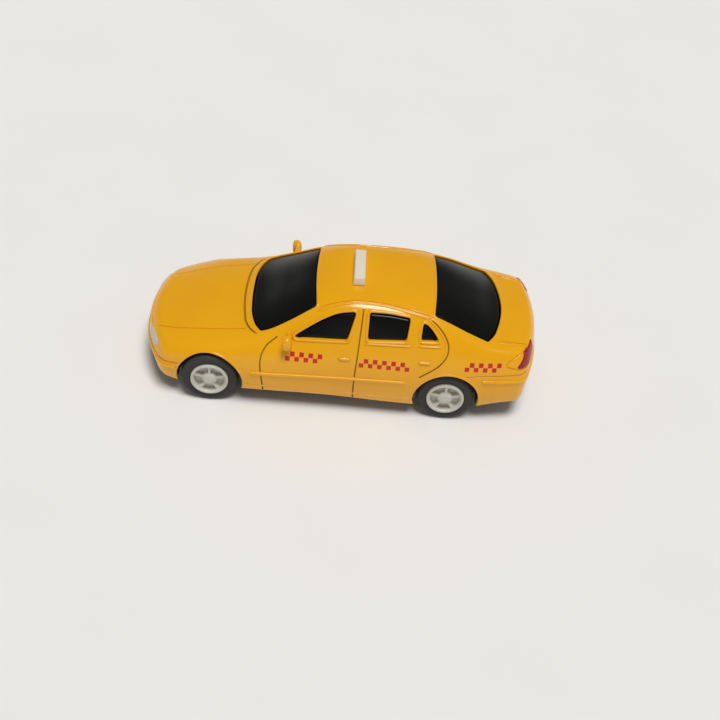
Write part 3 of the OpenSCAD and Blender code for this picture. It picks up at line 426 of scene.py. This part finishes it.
def met(tree, starts, way):
    """Places where rays from the starts meet the skin, with its normals."""
    hits = [tree.ray_cast(start, way) for start in starts]
    return [(h[0], h[1]) for h in hits if h[0] is not None]


def on_side(tree, points, side):
    """Places on the skin, with its normals, seen from the side: points are x and height in mm."""
    starts = [Vector((x * MM, side * SIDE_FROM, z * MM)) for x, z in points]
    return [hit for hit in met(tree, starts, Vector((0, -side, 0))) if hit[0].y * side > 0]


def on_top(tree, points):
    """Places on the skin, with its normals, seen from above: points are x and y in mm."""
    return met(tree, [Vector((x * MM, y * MM, TOP_FROM)) for x, y in points], Vector((0, 0, -1)))


def on_end(tree, points, way):
    """Places on the skin, with its normals, seen from the front or from behind: points are y and height in mm."""
    return met(tree, [Vector((way * END_FROM, y * MM, z * MM)) for y, z in points], Vector((-way, 0, 0)))


def on_corner(tree, points, side):
    """Places on the skin, with its normals, seen from a rear corner: points are the place across and height in mm."""
    across, ahead = Vector((1, side, 0)).normalized(), Vector((1, -side, 0)).normalized()
    starts = [across * a * MM + Vector((0, 0, z * MM)) - ahead * CORNER_FROM for a, z in points]
    return met(tree, starts, ahead)


def swept(name, path, profile, closed, taper=0.0):
    """A profile, across and outwards in mm, carried along a path on the skin; its ends run out over the taper."""
    # Share of its height that a tapered profile keeps at its tip, squared
    tip = 0.02
    n, w = len(path), len(profile)
    points, faces = [], []
    for i, (place, normal) in enumerate(path):
        near = min((place - path[0][0]).length, (place - path[-1][0]).length) / MM
        full = 1 if closed or near >= taper else math.sqrt(max(tip, 1 - (1 - near / taper) ** 2))
        before = path[i - 1][0] if closed or i else place
        after = path[(i + 1) % n][0] if closed or i < n - 1 else place
        along = (after - before).normalized()
        across = along.cross(normal).normalized()
        out = across.cross(along).normalized()
        points += [place + (across * a * full + out * o * full) * MM for a, o in profile]
    for i in range(n if closed else n - 1):
        faces += band(i * w, (i + 1) % n * w, w)
    if not closed:
        faces += [tuple(range(w)), tuple(range((n - 1) * w, n * w))]
    return mesh_object(name, points, faces)


def pad(name, outline, seen, edge, sink):
    """A closed pad on the skin. Its edge gives how far inside the outline and how high above the skin each ring lies,
    its middle follows the skin at the last height, and its back lies at the sink."""
    middle = sum((Vector(p) for p in outline), Vector((0, 0))) / len(outline)
    last, high = grown(outline, -edge[-1][0]), edge[-1][1]
    lines = [(grown(outline, -inside), up) for inside, up in edge]
    lines += [([middle + (p - middle) * share for p in last], high) for share in PAD_SHARES]
    rings = [[place + normal * up * MM for place, normal in seen(line)] for line, up in lines]
    w, inmost = len(outline), (len(rings) - 1) * len(outline)
    points = [p for places in rings for p in places]
    (place, normal), = seen([middle])
    points += [place + normal * high * MM, place + normal * sink * MM]
    top, back = len(points) - 2, len(points) - 1
    faces = [face for i in range(len(rings) - 1) for face in band(i * w, (i + 1) * w, w)]
    faces += [(inmost + j, inmost + (j + 1) % w, top) for j in range(w)]
    faces += [(j, (j + 1) % w, back) for j in range(w)]
    return mesh_object(name, points, faces)


def oval(width, height, sink, count=10):
    """An oval profile that stands height above the skin and sinks below it."""
    return [(width / 2 * math.cos(a), (height + sink) / 2 * (1 + math.sin(a)) - sink)
            for a in (2 * math.pi * i / count for i in range(count))]


def bar(width, height, sink):
    """A flat strip's profile, its upper edges rounded by 0.6 of its height, that sinks below the skin."""
    w, r = width / 2, 0.6 * height
    corner = [(w - r + r * math.sin(a), height - r + r * math.cos(a)) for a in (0, 0.4, 0.8, 1.2, math.pi / 2)]
    return [(-w, -sink)] + [(-x, y) for x, y in reversed(corner)] + corner + [(w, -sink)]


def prism(name, points, axis, low, high):
    """An outline as a solid: axis Y takes x and height, axis Z takes x and y, axis X takes y and height."""
    if axis == "Y":
        base = [Vector((x, low, z)) * MM for x, z in points]
        move = Vector((0, high - low, 0)) * MM
    elif axis == "Z":
        base = [Vector((x, y, low)) * MM for x, y in points]
        move = Vector((0, 0, high - low)) * MM
    else:
        base = [Vector((low, y, z)) * MM for y, z in points]
        move = Vector((high - low, 0, 0)) * MM
    made = mesh_object(name, base, [tuple(range(len(base)))])
    bpy.ops.object.mode_set(mode="EDIT")
    bpy.ops.mesh.select_all(action="SELECT")
    bpy.ops.mesh.extrude_region_move(TRANSFORM_OT_translate={"value": move})
    bpy.ops.mesh.select_all(action="SELECT")
    bpy.ops.mesh.normals_make_consistent(inside=False)
    bpy.ops.object.mode_set(mode="OBJECT")
    return made


# Materials

def linear(code):
    """Linear colour of an sRGB hex value."""
    parts = [int(code[i:i + 2], 16) / 255 for i in (1, 3, 5)]
    return [c / 12.92 if c <= 0.04045 else ((c + 0.055) / 1.055) ** 2.4 for c in parts] + [1.0]


def add(tree, kind, values=None, **settings):
    """Adds one node: settings are its properties, values its sockets, each a constant or another node's output."""
    made = tree.nodes.new(kind)
    for name, value in settings.items():
        setattr(made, name, value)
    for name, value in (values or {}).items():
        if isinstance(value, bpy.types.NodeSocket):
            tree.links.new(value, made.inputs[name])
        else:
            made.inputs[name].default_value = value
    return made


def new_material(name):
    """An empty node material with its output and Object coordinates."""
    made = bpy.data.materials.new(name)
    made.use_nodes = True
    made.node_tree.nodes.clear()
    place = add(made.node_tree, "ShaderNodeTexCoord").outputs["Object"]
    return made, made.node_tree, place


def per_mm(size):
    """Noise scale for features of a size in mm, on coordinates in metres."""
    return 1 / (size * MM)


def blend(tree, share, first, second):
    """A colour between two others, each a hex value or another node's output. The mix node has its factor at 0, its
    colours at 6 and 7 and its result at 2."""
    first, second = (linear(colour) if isinstance(colour, str) else colour for colour in (first, second))
    return add(tree, "ShaderNodeMix", {0: share, 6: first, 7: second}, data_type="RGBA").outputs[2]


def maths(tree, operation, *values):
    """Result of one calculation."""
    return add(tree, "ShaderNodeMath", dict(enumerate(values)), operation=operation).outputs[0]


def surface(tree, values):
    """Ends a material with its shader and output."""
    shader = add(tree, "ShaderNodeBsdfPrincipled", values)
    add(tree, "ShaderNodeOutputMaterial", {"Surface": shader.outputs[0]})


def body_paint():
    """Sprayed and stoved enamel on cast zinc: an even deep yellow with a thin gloss coat, a faint orange peel and
    bands of print in red."""
    made, tree, place = new_material("stoved_enamel_taxi_yellow")
    shade = add(tree, "ShaderNodeTexNoise", {"Vector": place, "Scale": per_mm(9), "Detail": 3.0, "Roughness": 0.5})
    paint = blend(tree, shade.outputs["Fac"], "#F0AD00", "#E8A200")
    # Chequered bands in red pad-printing ink, two rows of squares, where the doors and wings carry print
    axes = add(tree, "ShaderNodeSeparateXYZ", {0: place}).outputs
    printed = 0.0
    for middle, half_length, height in PRINT_BANDS:
        along = maths(tree, "COMPARE", axes["X"], middle * MM, half_length * MM)
        up = maths(tree, "COMPARE", axes["Z"], height * MM, PRINT_SQUARE * MM)
        printed = maths(tree, "MAXIMUM", maths(tree, "MULTIPLY", along, up), printed)
    flat = add(tree, "ShaderNodeCombineXYZ", {"X": axes["X"], "Z": axes["Z"]})
    squares = add(tree, "ShaderNodeTexChecker", {"Vector": flat.outputs[0], "Scale": per_mm(PRINT_SQUARE)})
    colour = blend(tree, maths(tree, "MULTIPLY", printed, squares.outputs["Fac"]), paint, "#C4150C")
    # Fine orange peel of a sprayed coat, about 0.5 mm from crest to crest
    peel = add(tree, "ShaderNodeTexNoise", {"Vector": place, "Scale": per_mm(0.5), "Detail": 1.0})
    relief = add(tree, "ShaderNodeBump", {"Strength": 0.05, "Distance": 0.02 * MM, "Height": peel.outputs["Fac"]})
    surface(tree, {"Base Color": colour, "Roughness": 0.2, "IOR": 1.45, "Coat Weight": 0.2, "Coat Roughness": 0.05,
                   "Normal": relief.outputs["Normal"]})
    return made


def dark_glazing():
    """Black tinted polystyrene, moulded in a polished tool: near black, glossy, with faint flow marks."""
    made, tree, place = new_material("tinted_polystyrene_black")
    flow = add(tree, "ShaderNodeTexNoise", {"Vector": place, "Scale": per_mm(7), "Detail": 4.0, "Distortion": 1.2})
    rough = add(tree, "ShaderNodeMapRange", {"Value": flow.outputs["Fac"], "To Min": 0.12, "To Max": 0.26})
    surface(tree, {"Base Color": blend(tree, flow.outputs["Fac"], "#060605", "#0D0C0B"),
                   "Roughness": rough.outputs[0], "IOR": 1.5, "Specular IOR Level": 0.25})
    return made


def grained(name, light, dark, rough, grain_mm, depth):
    """A moulded plastic, a rubber, an ink or the painted shade of the grooves, each with a fine grain: two close
    tones, and a small relief and change of gloss at the grain's own size."""
    spread = 0.06
    made, tree, place = new_material(name)
    cloud = add(tree, "ShaderNodeTexNoise", {"Vector": place, "Scale": per_mm(6), "Detail": 4.0})
    tone = blend(tree, cloud.outputs["Fac"], light, dark)
    grain = add(tree, "ShaderNodeTexNoise", {"Vector": place, "Scale": per_mm(grain_mm), "Detail": 2.0}).outputs["Fac"]
    relief = add(tree, "ShaderNodeBump", {"Strength": depth, "Distance": 0.05 * MM, "Height": grain})
    gloss = add(tree, "ShaderNodeMapRange", {"Value": grain, "To Min": rough - spread, "To Max": rough + spread})
    surface(tree, {"Base Color": tone, "Roughness": gloss.outputs[0], "IOR": 1.5, "Normal": relief.outputs["Normal"]})
    return made


def drawn_steel(name, light, dark):
    """Drawn steel wire and strip: grey metal with fine lines along its length."""
    made, tree, place = new_material(name)
    lines = add(tree, "ShaderNodeMapping", {"Vector": place, "Scale": (1.0, 0.05, 1.0)})
    streak = add(tree, "ShaderNodeTexNoise", {"Vector": lines.outputs[0], "Scale": per_mm(0.3), "Detail": 2.0})
    rough = add(tree, "ShaderNodeMapRange", {"Value": streak.outputs["Fac"], "To Min": 0.25, "To Max": 0.42})
    surface(tree, {"Base Color": blend(tree, streak.outputs["Fac"], light, dark), "Metallic": 1.0,
                   "Roughness": rough.outputs[0]})
    return made


PAINT = body_paint()
# Painted shade in the moulded lines: a darker brown yellow on the walls of the door lines and the cowl groove, where
# shade falls in the grooves
GROOVE_SHADE = grained("enamel_painted_groove_shade", "#B47E10", "#A3700E", 0.5, 0.5, 0.1)
GLAZING = dark_glazing()
SIGN = grained("moulded_abs_cream", "#E9E3D0", "#DED6C0", 0.42, 0.6, 0.05)
TYRE = grained("pvc_tyre_black", "#343433", "#292928", 0.72, 0.35, 0.25)
HUB = grained("moulded_abs_pale_grey", "#CDCBC0", "#BDBAAE", 0.4, 0.5, 0.05)
BASE = grained("moulded_polypropylene_black", "#222223", "#18181A", 0.55, 0.4, 0.3)
MOTOR = grained("moulded_acetal_white", "#DEDDD2", "#CFCDC0", 0.45, 0.5, 0.1)
RED_INK = grained("pad_printed_ink_red", "#A3151E", "#8E1019", 0.3, 0.4, 0.05)
SILVER_INK = grained("pad_printed_ink_silver", "#C9C9C6", "#B9B9B6", 0.3, 0.4, 0.05)
STEEL = drawn_steel("drawn_steel", "#C9C9CC", "#9C9DA2")
SPRING = drawn_steel("blued_spring_steel", "#6F737A", "#4D5158")


# Body shell

# A fine skin that is only used to find places on the body: step along it and parts across it
FINE = skin("fine", 0, 0, 0.3, 130)
TREE = BVHTree.FromPolygons([v.co for v in FINE.data.vertices], [p.vertices for p in FINE.data.polygons])
bpy.data.objects.remove(FINE)


def open_line(line):
    """Even points on a softened line."""
    return spaced(softened(line, CORNER_R, False), PATH_GAP, False)


def closed_line(outline, gap, radius=CORNER_R):
    """Even points on a softened outline."""
    return spaced(softened(outline, radius, True), gap, True)


def side_path(line, side):
    """A softened line on one flank."""
    return on_side(TREE, open_line(line), side)


def top_path(line, side):
    """A softened line on the upper faces, drawn for the left and put on one side."""
    return on_top(TREE, open_line([(x, side * y) for x, y in line]))


def end_path(line, way):
    """A softened line on the front or back face."""
    return on_end(TREE, open_line(line), way)


def side_cut(outline, reach, side):
    """A tool that cuts an outline out of one flank, over a reach of half widths."""
    return prism("opening", outline, "Y", *sorted(side * y for y in reach))


def mirror(side):
    """Door mirror, cast with the shell: a rounded housing on a short foot."""
    x, y, z = MIRROR_PLACE
    made = block((x * MM, side * y * MM, z * MM), [length * MM for length in MIRROR_SIZE])
    # The foot grows out of the inner face, and the front face bulges
    select_faces(made, lambda face: face.normal.y * side < -0.9)
    bpy.ops.mesh.inset(thickness=0.35 * MM)
    for ahead, inwards, up in MIRROR_FOOT:
        step = (ahead * MM, -side * inwards * MM, up * MM)
        bpy.ops.mesh.extrude_region_move(TRANSFORM_OT_translate={"value": step})
    bpy.ops.object.mode_set(mode="OBJECT")
    select_faces(made, lambda face: face.normal.x > 0.9 and face.center.y * side > MIRROR_INNER_Y * MM)
    bpy.ops.mesh.inset(thickness=0.4 * MM)
    bpy.ops.transform.translate(value=(0.35 * MM, 0, 0))
    bpy.ops.object.mode_set(mode="OBJECT")
    rounded = made.modifiers.new("rounded", "SUBSURF")
    rounded.levels = rounded.render_levels = 3
    bpy.ops.object.modifier_apply(modifier=rounded.name)
    return made


def body_shell():
    """The cast shell: the lofted skin with raised frames, ridges and strips, openings, arches and moulded lines."""
    shell = skin("cast_shell", 0, 0, 0.7, 60)
    shell.data.materials.append(PAINT)

    # Moulded lines, cut as round grooves: width, height over the skin and depth below it
    fine, soft, deep = oval(0.32, 0.14, 0.28), oval(0.4, 0.16, 0.22), oval(0.5, 0.14, 0.36)
    cowl = [(x, -y) for x, y in COWL_EDGE[:0:-1]] + COWL_EDGE
    plate = closed_line(PLATE_PLACE, gap=0.3, radius=0.4)
    gaps = [swept("groove", side_path(line, side), fine, False) for side in (1, -1)
            for line in (DOOR_FRONT, DOOR_MIDDLE, DOOR_REAR)]
    gaps.append(swept("groove", top_path(cowl, 1), deep, False, taper=3.0))
    creases = [swept("groove", side_path(line, side), soft, False) for side in (1, -1)
               for line in (BUMPER_REAR, LAMP_REAR, BUMPER_FRONT)]
    creases += [swept("groove", top_path(line, side), soft, False, taper=1.5) for side in (1, -1)
                for line in (BONNET_EDGE, BOOT_EDGE, ROOF_EDGE)]
    creases += [swept("groove", end_path(line, -1), soft, False) for line in TAIL_EDGES + [TAIL_LINE]]
    creases += [swept("groove", end_path(line, 1), soft, False) for line in NOSE_LINES]
    creases.append(swept("groove", on_end(TREE, plate, -1), soft, True))

    # Openings for the panes, the wheels and the grille
    openings = [side_cut(closed_line(outline, gap=0.35), SIDE_CUT_Y, side) for outline in SIDE_GLASS
                for side in (1, -1)]
    openings += [prism("opening", closed_line(mirrored(outline), gap=0.4), "Z", *TOP_CUT_Z) for outline in TOP_GLASS]
    full_turn = [2 * math.pi * i / 96 for i in range(96)]
    openings += [side_cut(around_axle(x, ARCH_R, full_turn), ARCH_CUT_Y, side) for x in (FRONT_X, REAR_X)
                 for side in (1, -1)]
    for z, wide, high in SLOTS:
        slot = [(y * wide / 2, z + up * high / 2) for y, up in ((-1, -1), (1, -1), (1, 1), (-1, 1))]
        openings.append(prism("opening", closed_line(slot, gap=0.12, radius=high * 0.45), "X", *SLOT_CUT_X))

    # Ridges and handles: name, path, line, width, height over the skin, depth below it and length of the taper
    relief = [("ridge", side_path, line, 0.5, 0.24, 0.25, 0.8) for line in BELT_RIDGES]
    relief += [("handle", side_path, line, 0.7, 0.42, 0.3, 0.5) for line in HANDLES]
    relief += [("ridge", side_path, SILL_RIDGE, 0.4, 0.13, 0.25, 0.8),
               ("ridge", side_path, [(x + DOOR_RIDGE_OUT, z) for x, z in DOOR_REAR[:-1]], 0.5, 0.18, 0.25, 1.5),
               ("ridge", top_path, [(x, y + TOP_RIDGE_OUT) for x, y in ROOF_EDGE], 0.5, 0.22, 0.25, 2),
               ("ridge", top_path, [(x, y + TOP_RIDGE_OUT) for x, y in BOOT_EDGE], 0.45, 0.18, 0.25, 1.5)]
    # The other raised pieces: frames around the openings, strips, lips of the arches and mirrors
    side_frame, low_frame = oval(0.6, 0.26, 0.3), oval(0.55, 0.1, 0.35)
    half_turn = [math.pi * (i / 60 * 1.02 - 0.01) for i in range(61)]
    raised = []
    for side in (1, -1):
        for outline in SIDE_GLASS:
            line = grown(closed_line(outline, gap=0.25), SIDE_FRAME_OUT)
            raised.append(swept("frame", on_side(TREE, line, side), side_frame, True))
        for line, width in ((FLANK_STRIP, 0.7), (REAR_STRIP, 0.7), (FRONT_STRIP, 0.6)):
            raised.append(swept("strip", side_path(line, side), bar(width, 0.28, 0.3), False, taper=0.4))
        for name, path, line, width, height, sink, taper in relief:
            raised.append(swept(name, path(line, side), oval(width, height, sink), False, taper))
        for x in (FRONT_X, REAR_X):
            arch = around_axle(x, ARCH_R + LIP_OUT, half_turn)
            raised.append(swept("lip", on_side(TREE, arch, side), low_frame, False))
        raised.append(mirror(side))
    for outline in TOP_GLASS:
        line = grown(closed_line(mirrored(outline), gap=0.3), TOP_FRAME_OUT)
        raised.append(swept("frame", on_top(TREE, line), low_frame, True))
    raised.append(swept("strip", end_path(TAIL_STRIP, -1), bar(0.7, 0.26, 0.3), False))
    raised.append(swept("strip", end_path(NOSE_STRIP, 1), bar(0.6, 0.24, 0.3), False))

    inside = skin("inside", SHELL_T, INSIDE_DROP, 1.6, 30)
    # The groove tools give the walls of the door lines and the cowl groove their painted shade
    for tools, look in ((gaps, GROOVE_SHADE), (creases, PAINT), (openings, PAINT), ([inside], PAINT), (raised, PAINT)):
        for piece in tools:
            piece.data.materials.append(look)
    boolean(shell, inside, "DIFFERENCE", False)
    boolean(shell, joined(openings, "openings"), "DIFFERENCE", False)
    boolean(shell, joined(gaps + creases, "grooves"), "DIFFERENCE", True)
    shell = joined([shell] + raised, "cast_shell")
    smooth(shell, 38)
    return shell


# Panes, lamps and sign

def panes():
    """The glazing insert: a dark pane in every opening, crowned over a rounded edge, on a flange behind the shell."""
    made = []
    for outline in SIDE_GLASS:
        line = grown(closed_line(outline, gap=0.3), -PANE_GAP)
        for side in (1, -1):
            def seen(points, side=side):
                return on_side(TREE, points, side)
            made.append(pad("pane", line, seen, PANE_EDGE, PANE_BACK))
    for outline in TOP_GLASS:
        line = grown(closed_line(mirrored(outline), gap=0.3), -PANE_GAP)
        made.append(pad("pane", line, lambda points: on_top(TREE, points), PANE_EDGE, PANE_BACK))
    whole = joined(made, "glazing_insert")
    whole.data.materials.append(GLAZING)
    smooth(whole, 50)
    return whole


def lamps():
    """Lamp faces on the shell: red ones round the rear corners, silver ones beside the grille."""
    made = []
    for side, hand in ((1, "left"), (-1, "right")):
        def seen(points, side=side):
            return on_corner(TREE, points, side)
        tail = pad("tail_lamp_" + hand, closed_line(TAIL_LAMP, gap=0.22, radius=0.35), seen, LAMP_EDGE, LAMP_BACK)
        tail.data.materials.append(RED_INK)
        line = [(side * y, z) for y, z in closed_line(FRONT_LAMP, gap=0.2, radius=0.35)]
        head = pad("front_lamp_" + hand, line, lambda points: on_end(TREE, points, 1), LAMP_EDGE, LAMP_BACK)
        head.data.materials.append(SILVER_INK)
        made += [tail, head]
    for piece in made:
        smooth(piece, 50)
    return made


def roof_sign():
    """Moulded sign: a box with soft edges that narrows towards its top, bare on all faces."""
    low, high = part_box("roof_sign")
    foot = ROOF_Z * MM
    middle = ((low[0] + high[0]) / 2, (low[1] + high[1]) / 2, (foot + high[2]) / 2)
    made = block(middle, (high[0] - low[0], high[1] - low[1], high[2] - foot))
    made.name = "sign_box"
    select_faces(made, lambda face: face.normal.z > 0.9)
    bpy.ops.transform.resize(value=SIGN_TOP, center_override=middle)
    bpy.ops.object.mode_set(mode="OBJECT")
    soft_edges(made, SIGN_EDGE, 4, 30)
    made.data.materials.append(SIGN)
    smooth(made, 40)
    return made


# Wheels

def lathe(name, profile, steps):
    """A ring turned about the Y axis from a closed profile of radius and place along the axle, in mm."""
    data = bpy.data.meshes.new(name)
    points = [Vector((radius, along, 0)) * MM for radius, along in profile]
    data.from_pydata(points, [(i, (i + 1) % len(points)) for i in range(len(points))], [])
    made = bpy.data.objects.new(name, data)
    bpy.context.scene.collection.objects.link(made)
    only(made)
    bpy.ops.object.mode_set(mode="EDIT")
    bpy.ops.mesh.select_all(action="SELECT")
    bpy.ops.mesh.spin(steps=steps, angle=2 * math.pi, center=(0, 0, 0), axis=(0, 1, 0))
    bpy.ops.mesh.select_all(action="SELECT")
    bpy.ops.mesh.remove_doubles(threshold=0.0005 * MM)
    bpy.ops.mesh.normals_make_consistent(inside=False)
    bpy.ops.object.mode_set(mode="OBJECT")
    return made


def hub():
    """Five-spoke hub, its face at y = 0: a rounded lip, a low cap and pockets between the spokes."""
    profile = [(0, -0.04), (0.5, -0.05), (0.85, -0.08), (1.08, -0.13), (1.2, -0.2), (1.28, -0.3), (1.34, -0.36),
               (1.42, -0.38), (1.48, -0.38), (2.2, -0.37), (3.02, -0.38), (3.1, -0.36), (3.16, -0.26), (3.21, -0.12),
               (3.28, -0.03), (3.38, 0), (3.56, -0.01), (3.67, -0.05), (3.73, -0.13), (3.75, -0.3), (3.75, -4.75),
               (3.05, -4.75), (3.05, -2.15), (1.55, -2.15), (1.55, -7.6), (0.75, -7.6), (0.75, -1.6), (0, -1.6)]
    made = lathe("hub", profile, 100)
    pitch = 360 / SPOKES

    def in_pocket(face):
        x, y, z = face.center / MM
        angle = (math.degrees(math.atan2(z, x)) - 90) % pitch
        inner, outer = POCKET_R
        return inner < math.hypot(x, z) < outer and y > -0.5 and HALF_SPOKE < angle < pitch - HALF_SPOKE
    select_faces(made, in_pocket)
    bpy.ops.mesh.extrude_region_move(TRANSFORM_OT_translate={"value": (0, -POCKET_DEPTH * MM, 0)})
    bpy.ops.object.mode_set(mode="OBJECT")
    soft_edges(made, 0.07, 2, 50)
    made.data.materials.append(HUB)
    smooth(made, 45)
    return made


def tyre():
    """Soft tyre, its outer face at y = 0: bowed sidewalls with a bead ring, round shoulders and three tread
    grooves."""
    wall = [(3.76, -0.22), (3.95, -0.08), (4.15, -0.06), (4.3, -0.12), (4.45, -0.08), (4.75, -0.01), (5.05, -0.04),
            (5.3, -0.14), (5.5, -0.32), (5.62, -0.55), (5.68, -0.8)]
    groove = [(5.7, 0.24), (5.66, 0.16), (5.48, 0.1), (5.48, -0.1), (5.66, -0.16), (5.7, -0.24)]
    first, middle = ([(radius, y + along) for radius, along in groove] for y in (-1.4, -TYRE_W / 2))
    far = [(radius, -TYRE_W - along) for radius, along in reversed(wall + first)]
    made = lathe("tyre", wall + first + middle + far, 96)
    made.data.materials.append(TYRE)
    smooth(made, 35)
    return made


def fitted(model, name, x, side, face_y):
    """A copy of a wheel piece on one side of the car, with its place in its mesh."""
    made = bpy.data.objects.new(name, model.data.copy())
    bpy.context.scene.collection.objects.link(made)
    made.rotation_euler = (0, 0, 0 if side > 0 else math.pi)
    made.location = (x * MM, side * face_y * MM, AXLE_Z * MM)
    only(made)
    bpy.ops.object.transform_apply(location=True, rotation=True, scale=True)
    return made


SHELL = body_shell()
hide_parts("body_shell")
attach(SHELL, "car")

INSERT = panes()
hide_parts("glazing")
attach(INSERT, "car")

for lamp_face in lamps():
    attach(lamp_face, "car")

SIGN_BOX = roof_sign()
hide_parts("roof_sign")
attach(SIGN_BOX, "car")

HUB_MODEL, TYRE_MODEL = hub(), tyre()
for end, x in (("front", FRONT_X), ("rear", REAR_X)):
    for hand, side in (("left", 1), ("right", -1)):
        for model, kind, face_y, slot in ((HUB_MODEL, "hub", RIM_FACE_Y, "hub_plastic"),
                                          (TYRE_MODEL, "tyre", TYRE_FACE_Y, "tyre_rubber")):
            wheel_piece = fitted(model, "%s_%s_%s_face" % (kind, end, hand), x, side, face_y)
            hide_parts("%s_%s_%s" % (kind, end, hand))
            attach(wheel_piece, end + "_wheels")
bpy.data.objects.remove(HUB_MODEL)
bpy.data.objects.remove(TYRE_MODEL)

for name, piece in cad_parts.items():
    look = next(m for key, m in (
        ("glazing", GLAZING), ("roof_sign", SIGN), ("base_plate", BASE), ("screws", STEEL), ("hub", HUB),
        ("tyre", TYRE), ("motor_case", MOTOR), ("gear", MOTOR), ("pinion", MOTOR), ("spring", SPRING),
        ("axle", STEEL), ("body_shell", PAINT)) if key in name)
    piece.data.materials.clear()
    piece.data.materials.append(look)


# Floor, light and camera

def stage():
    """A plain pale floor under soft studio light."""
    bpy.ops.object.select_all(action="DESELECT")
    bpy.ops.mesh.primitive_plane_add(size=3)
    floor = bpy.context.active_object
    floor.name = "floor"
    made, tree, place = new_material("matt_board_pale")
    fleck = add(tree, "ShaderNodeTexNoise", {"Vector": place, "Scale": per_mm(30), "Detail": 3.0})
    surface(tree, {"Base Color": blend(tree, fleck.outputs["Fac"], "#F3F2EF", "#EEECE8"), "Roughness": 0.85})
    floor.data.materials.append(made)


def light():
    """One broad soft light from high on the left, and a pale wall all round that gets dimmer towards the ceiling."""
    key = bpy.data.lights.new("key", "SUN")
    key.angle = KEY_ANGLE
    key.energy = KEY_STRENGTH
    sun = bpy.data.objects.new("key", key)
    sun.rotation_euler = Vector(KEY_WAY).to_track_quat("-Z", "Y").to_euler()
    bpy.context.scene.collection.objects.link(sun)
    world = bpy.data.worlds.new("soft_room")
    bpy.context.scene.world = world
    world.use_nodes = True
    tree = world.node_tree
    tree.nodes.clear()
    way = add(tree, "ShaderNodeTexCoord").outputs["Generated"]
    upwards = add(tree, "ShaderNodeSeparateXYZ", {0: way}).outputs["Z"]
    level = add(tree, "ShaderNodeMapRange", {
        "Value": upwards, "From Min": ROOM_RISE[0], "From Max": ROOM_RISE[1],
        "To Min": ROOM_STRENGTH[0], "To Max": ROOM_STRENGTH[1]}, interpolation_type="SMOOTHSTEP")
    room = add(tree, "ShaderNodeBackground", {"Color": (1.0, 0.99, 0.97, 1.0), "Strength": level.outputs[0]})
    add(tree, "ShaderNodeOutputWorld", {"Surface": room.outputs[0]})


def photo_camera():
    """The camera of the photograph."""
    lens = bpy.data.cameras.new("camera")
    lens.lens = LENS_MM
    lens.sensor_width = 36
    lens.clip_start = 0.01
    camera = bpy.data.objects.new("camera", lens)
    axes = Matrix((CAMERA_RIGHT, [-c for c in CAMERA_DOWN], [-c for c in CAMERA_AHEAD])).transposed()
    camera.matrix_world = Matrix.Translation(Vector(CAMERA_PLACE) * MM) @ axes.to_4x4()
    bpy.context.scene.collection.objects.link(camera)
    bpy.context.scene.camera = camera


stage()
light()
photo_camera()
bpy.context.scene.view_settings.view_transform = "Standard"
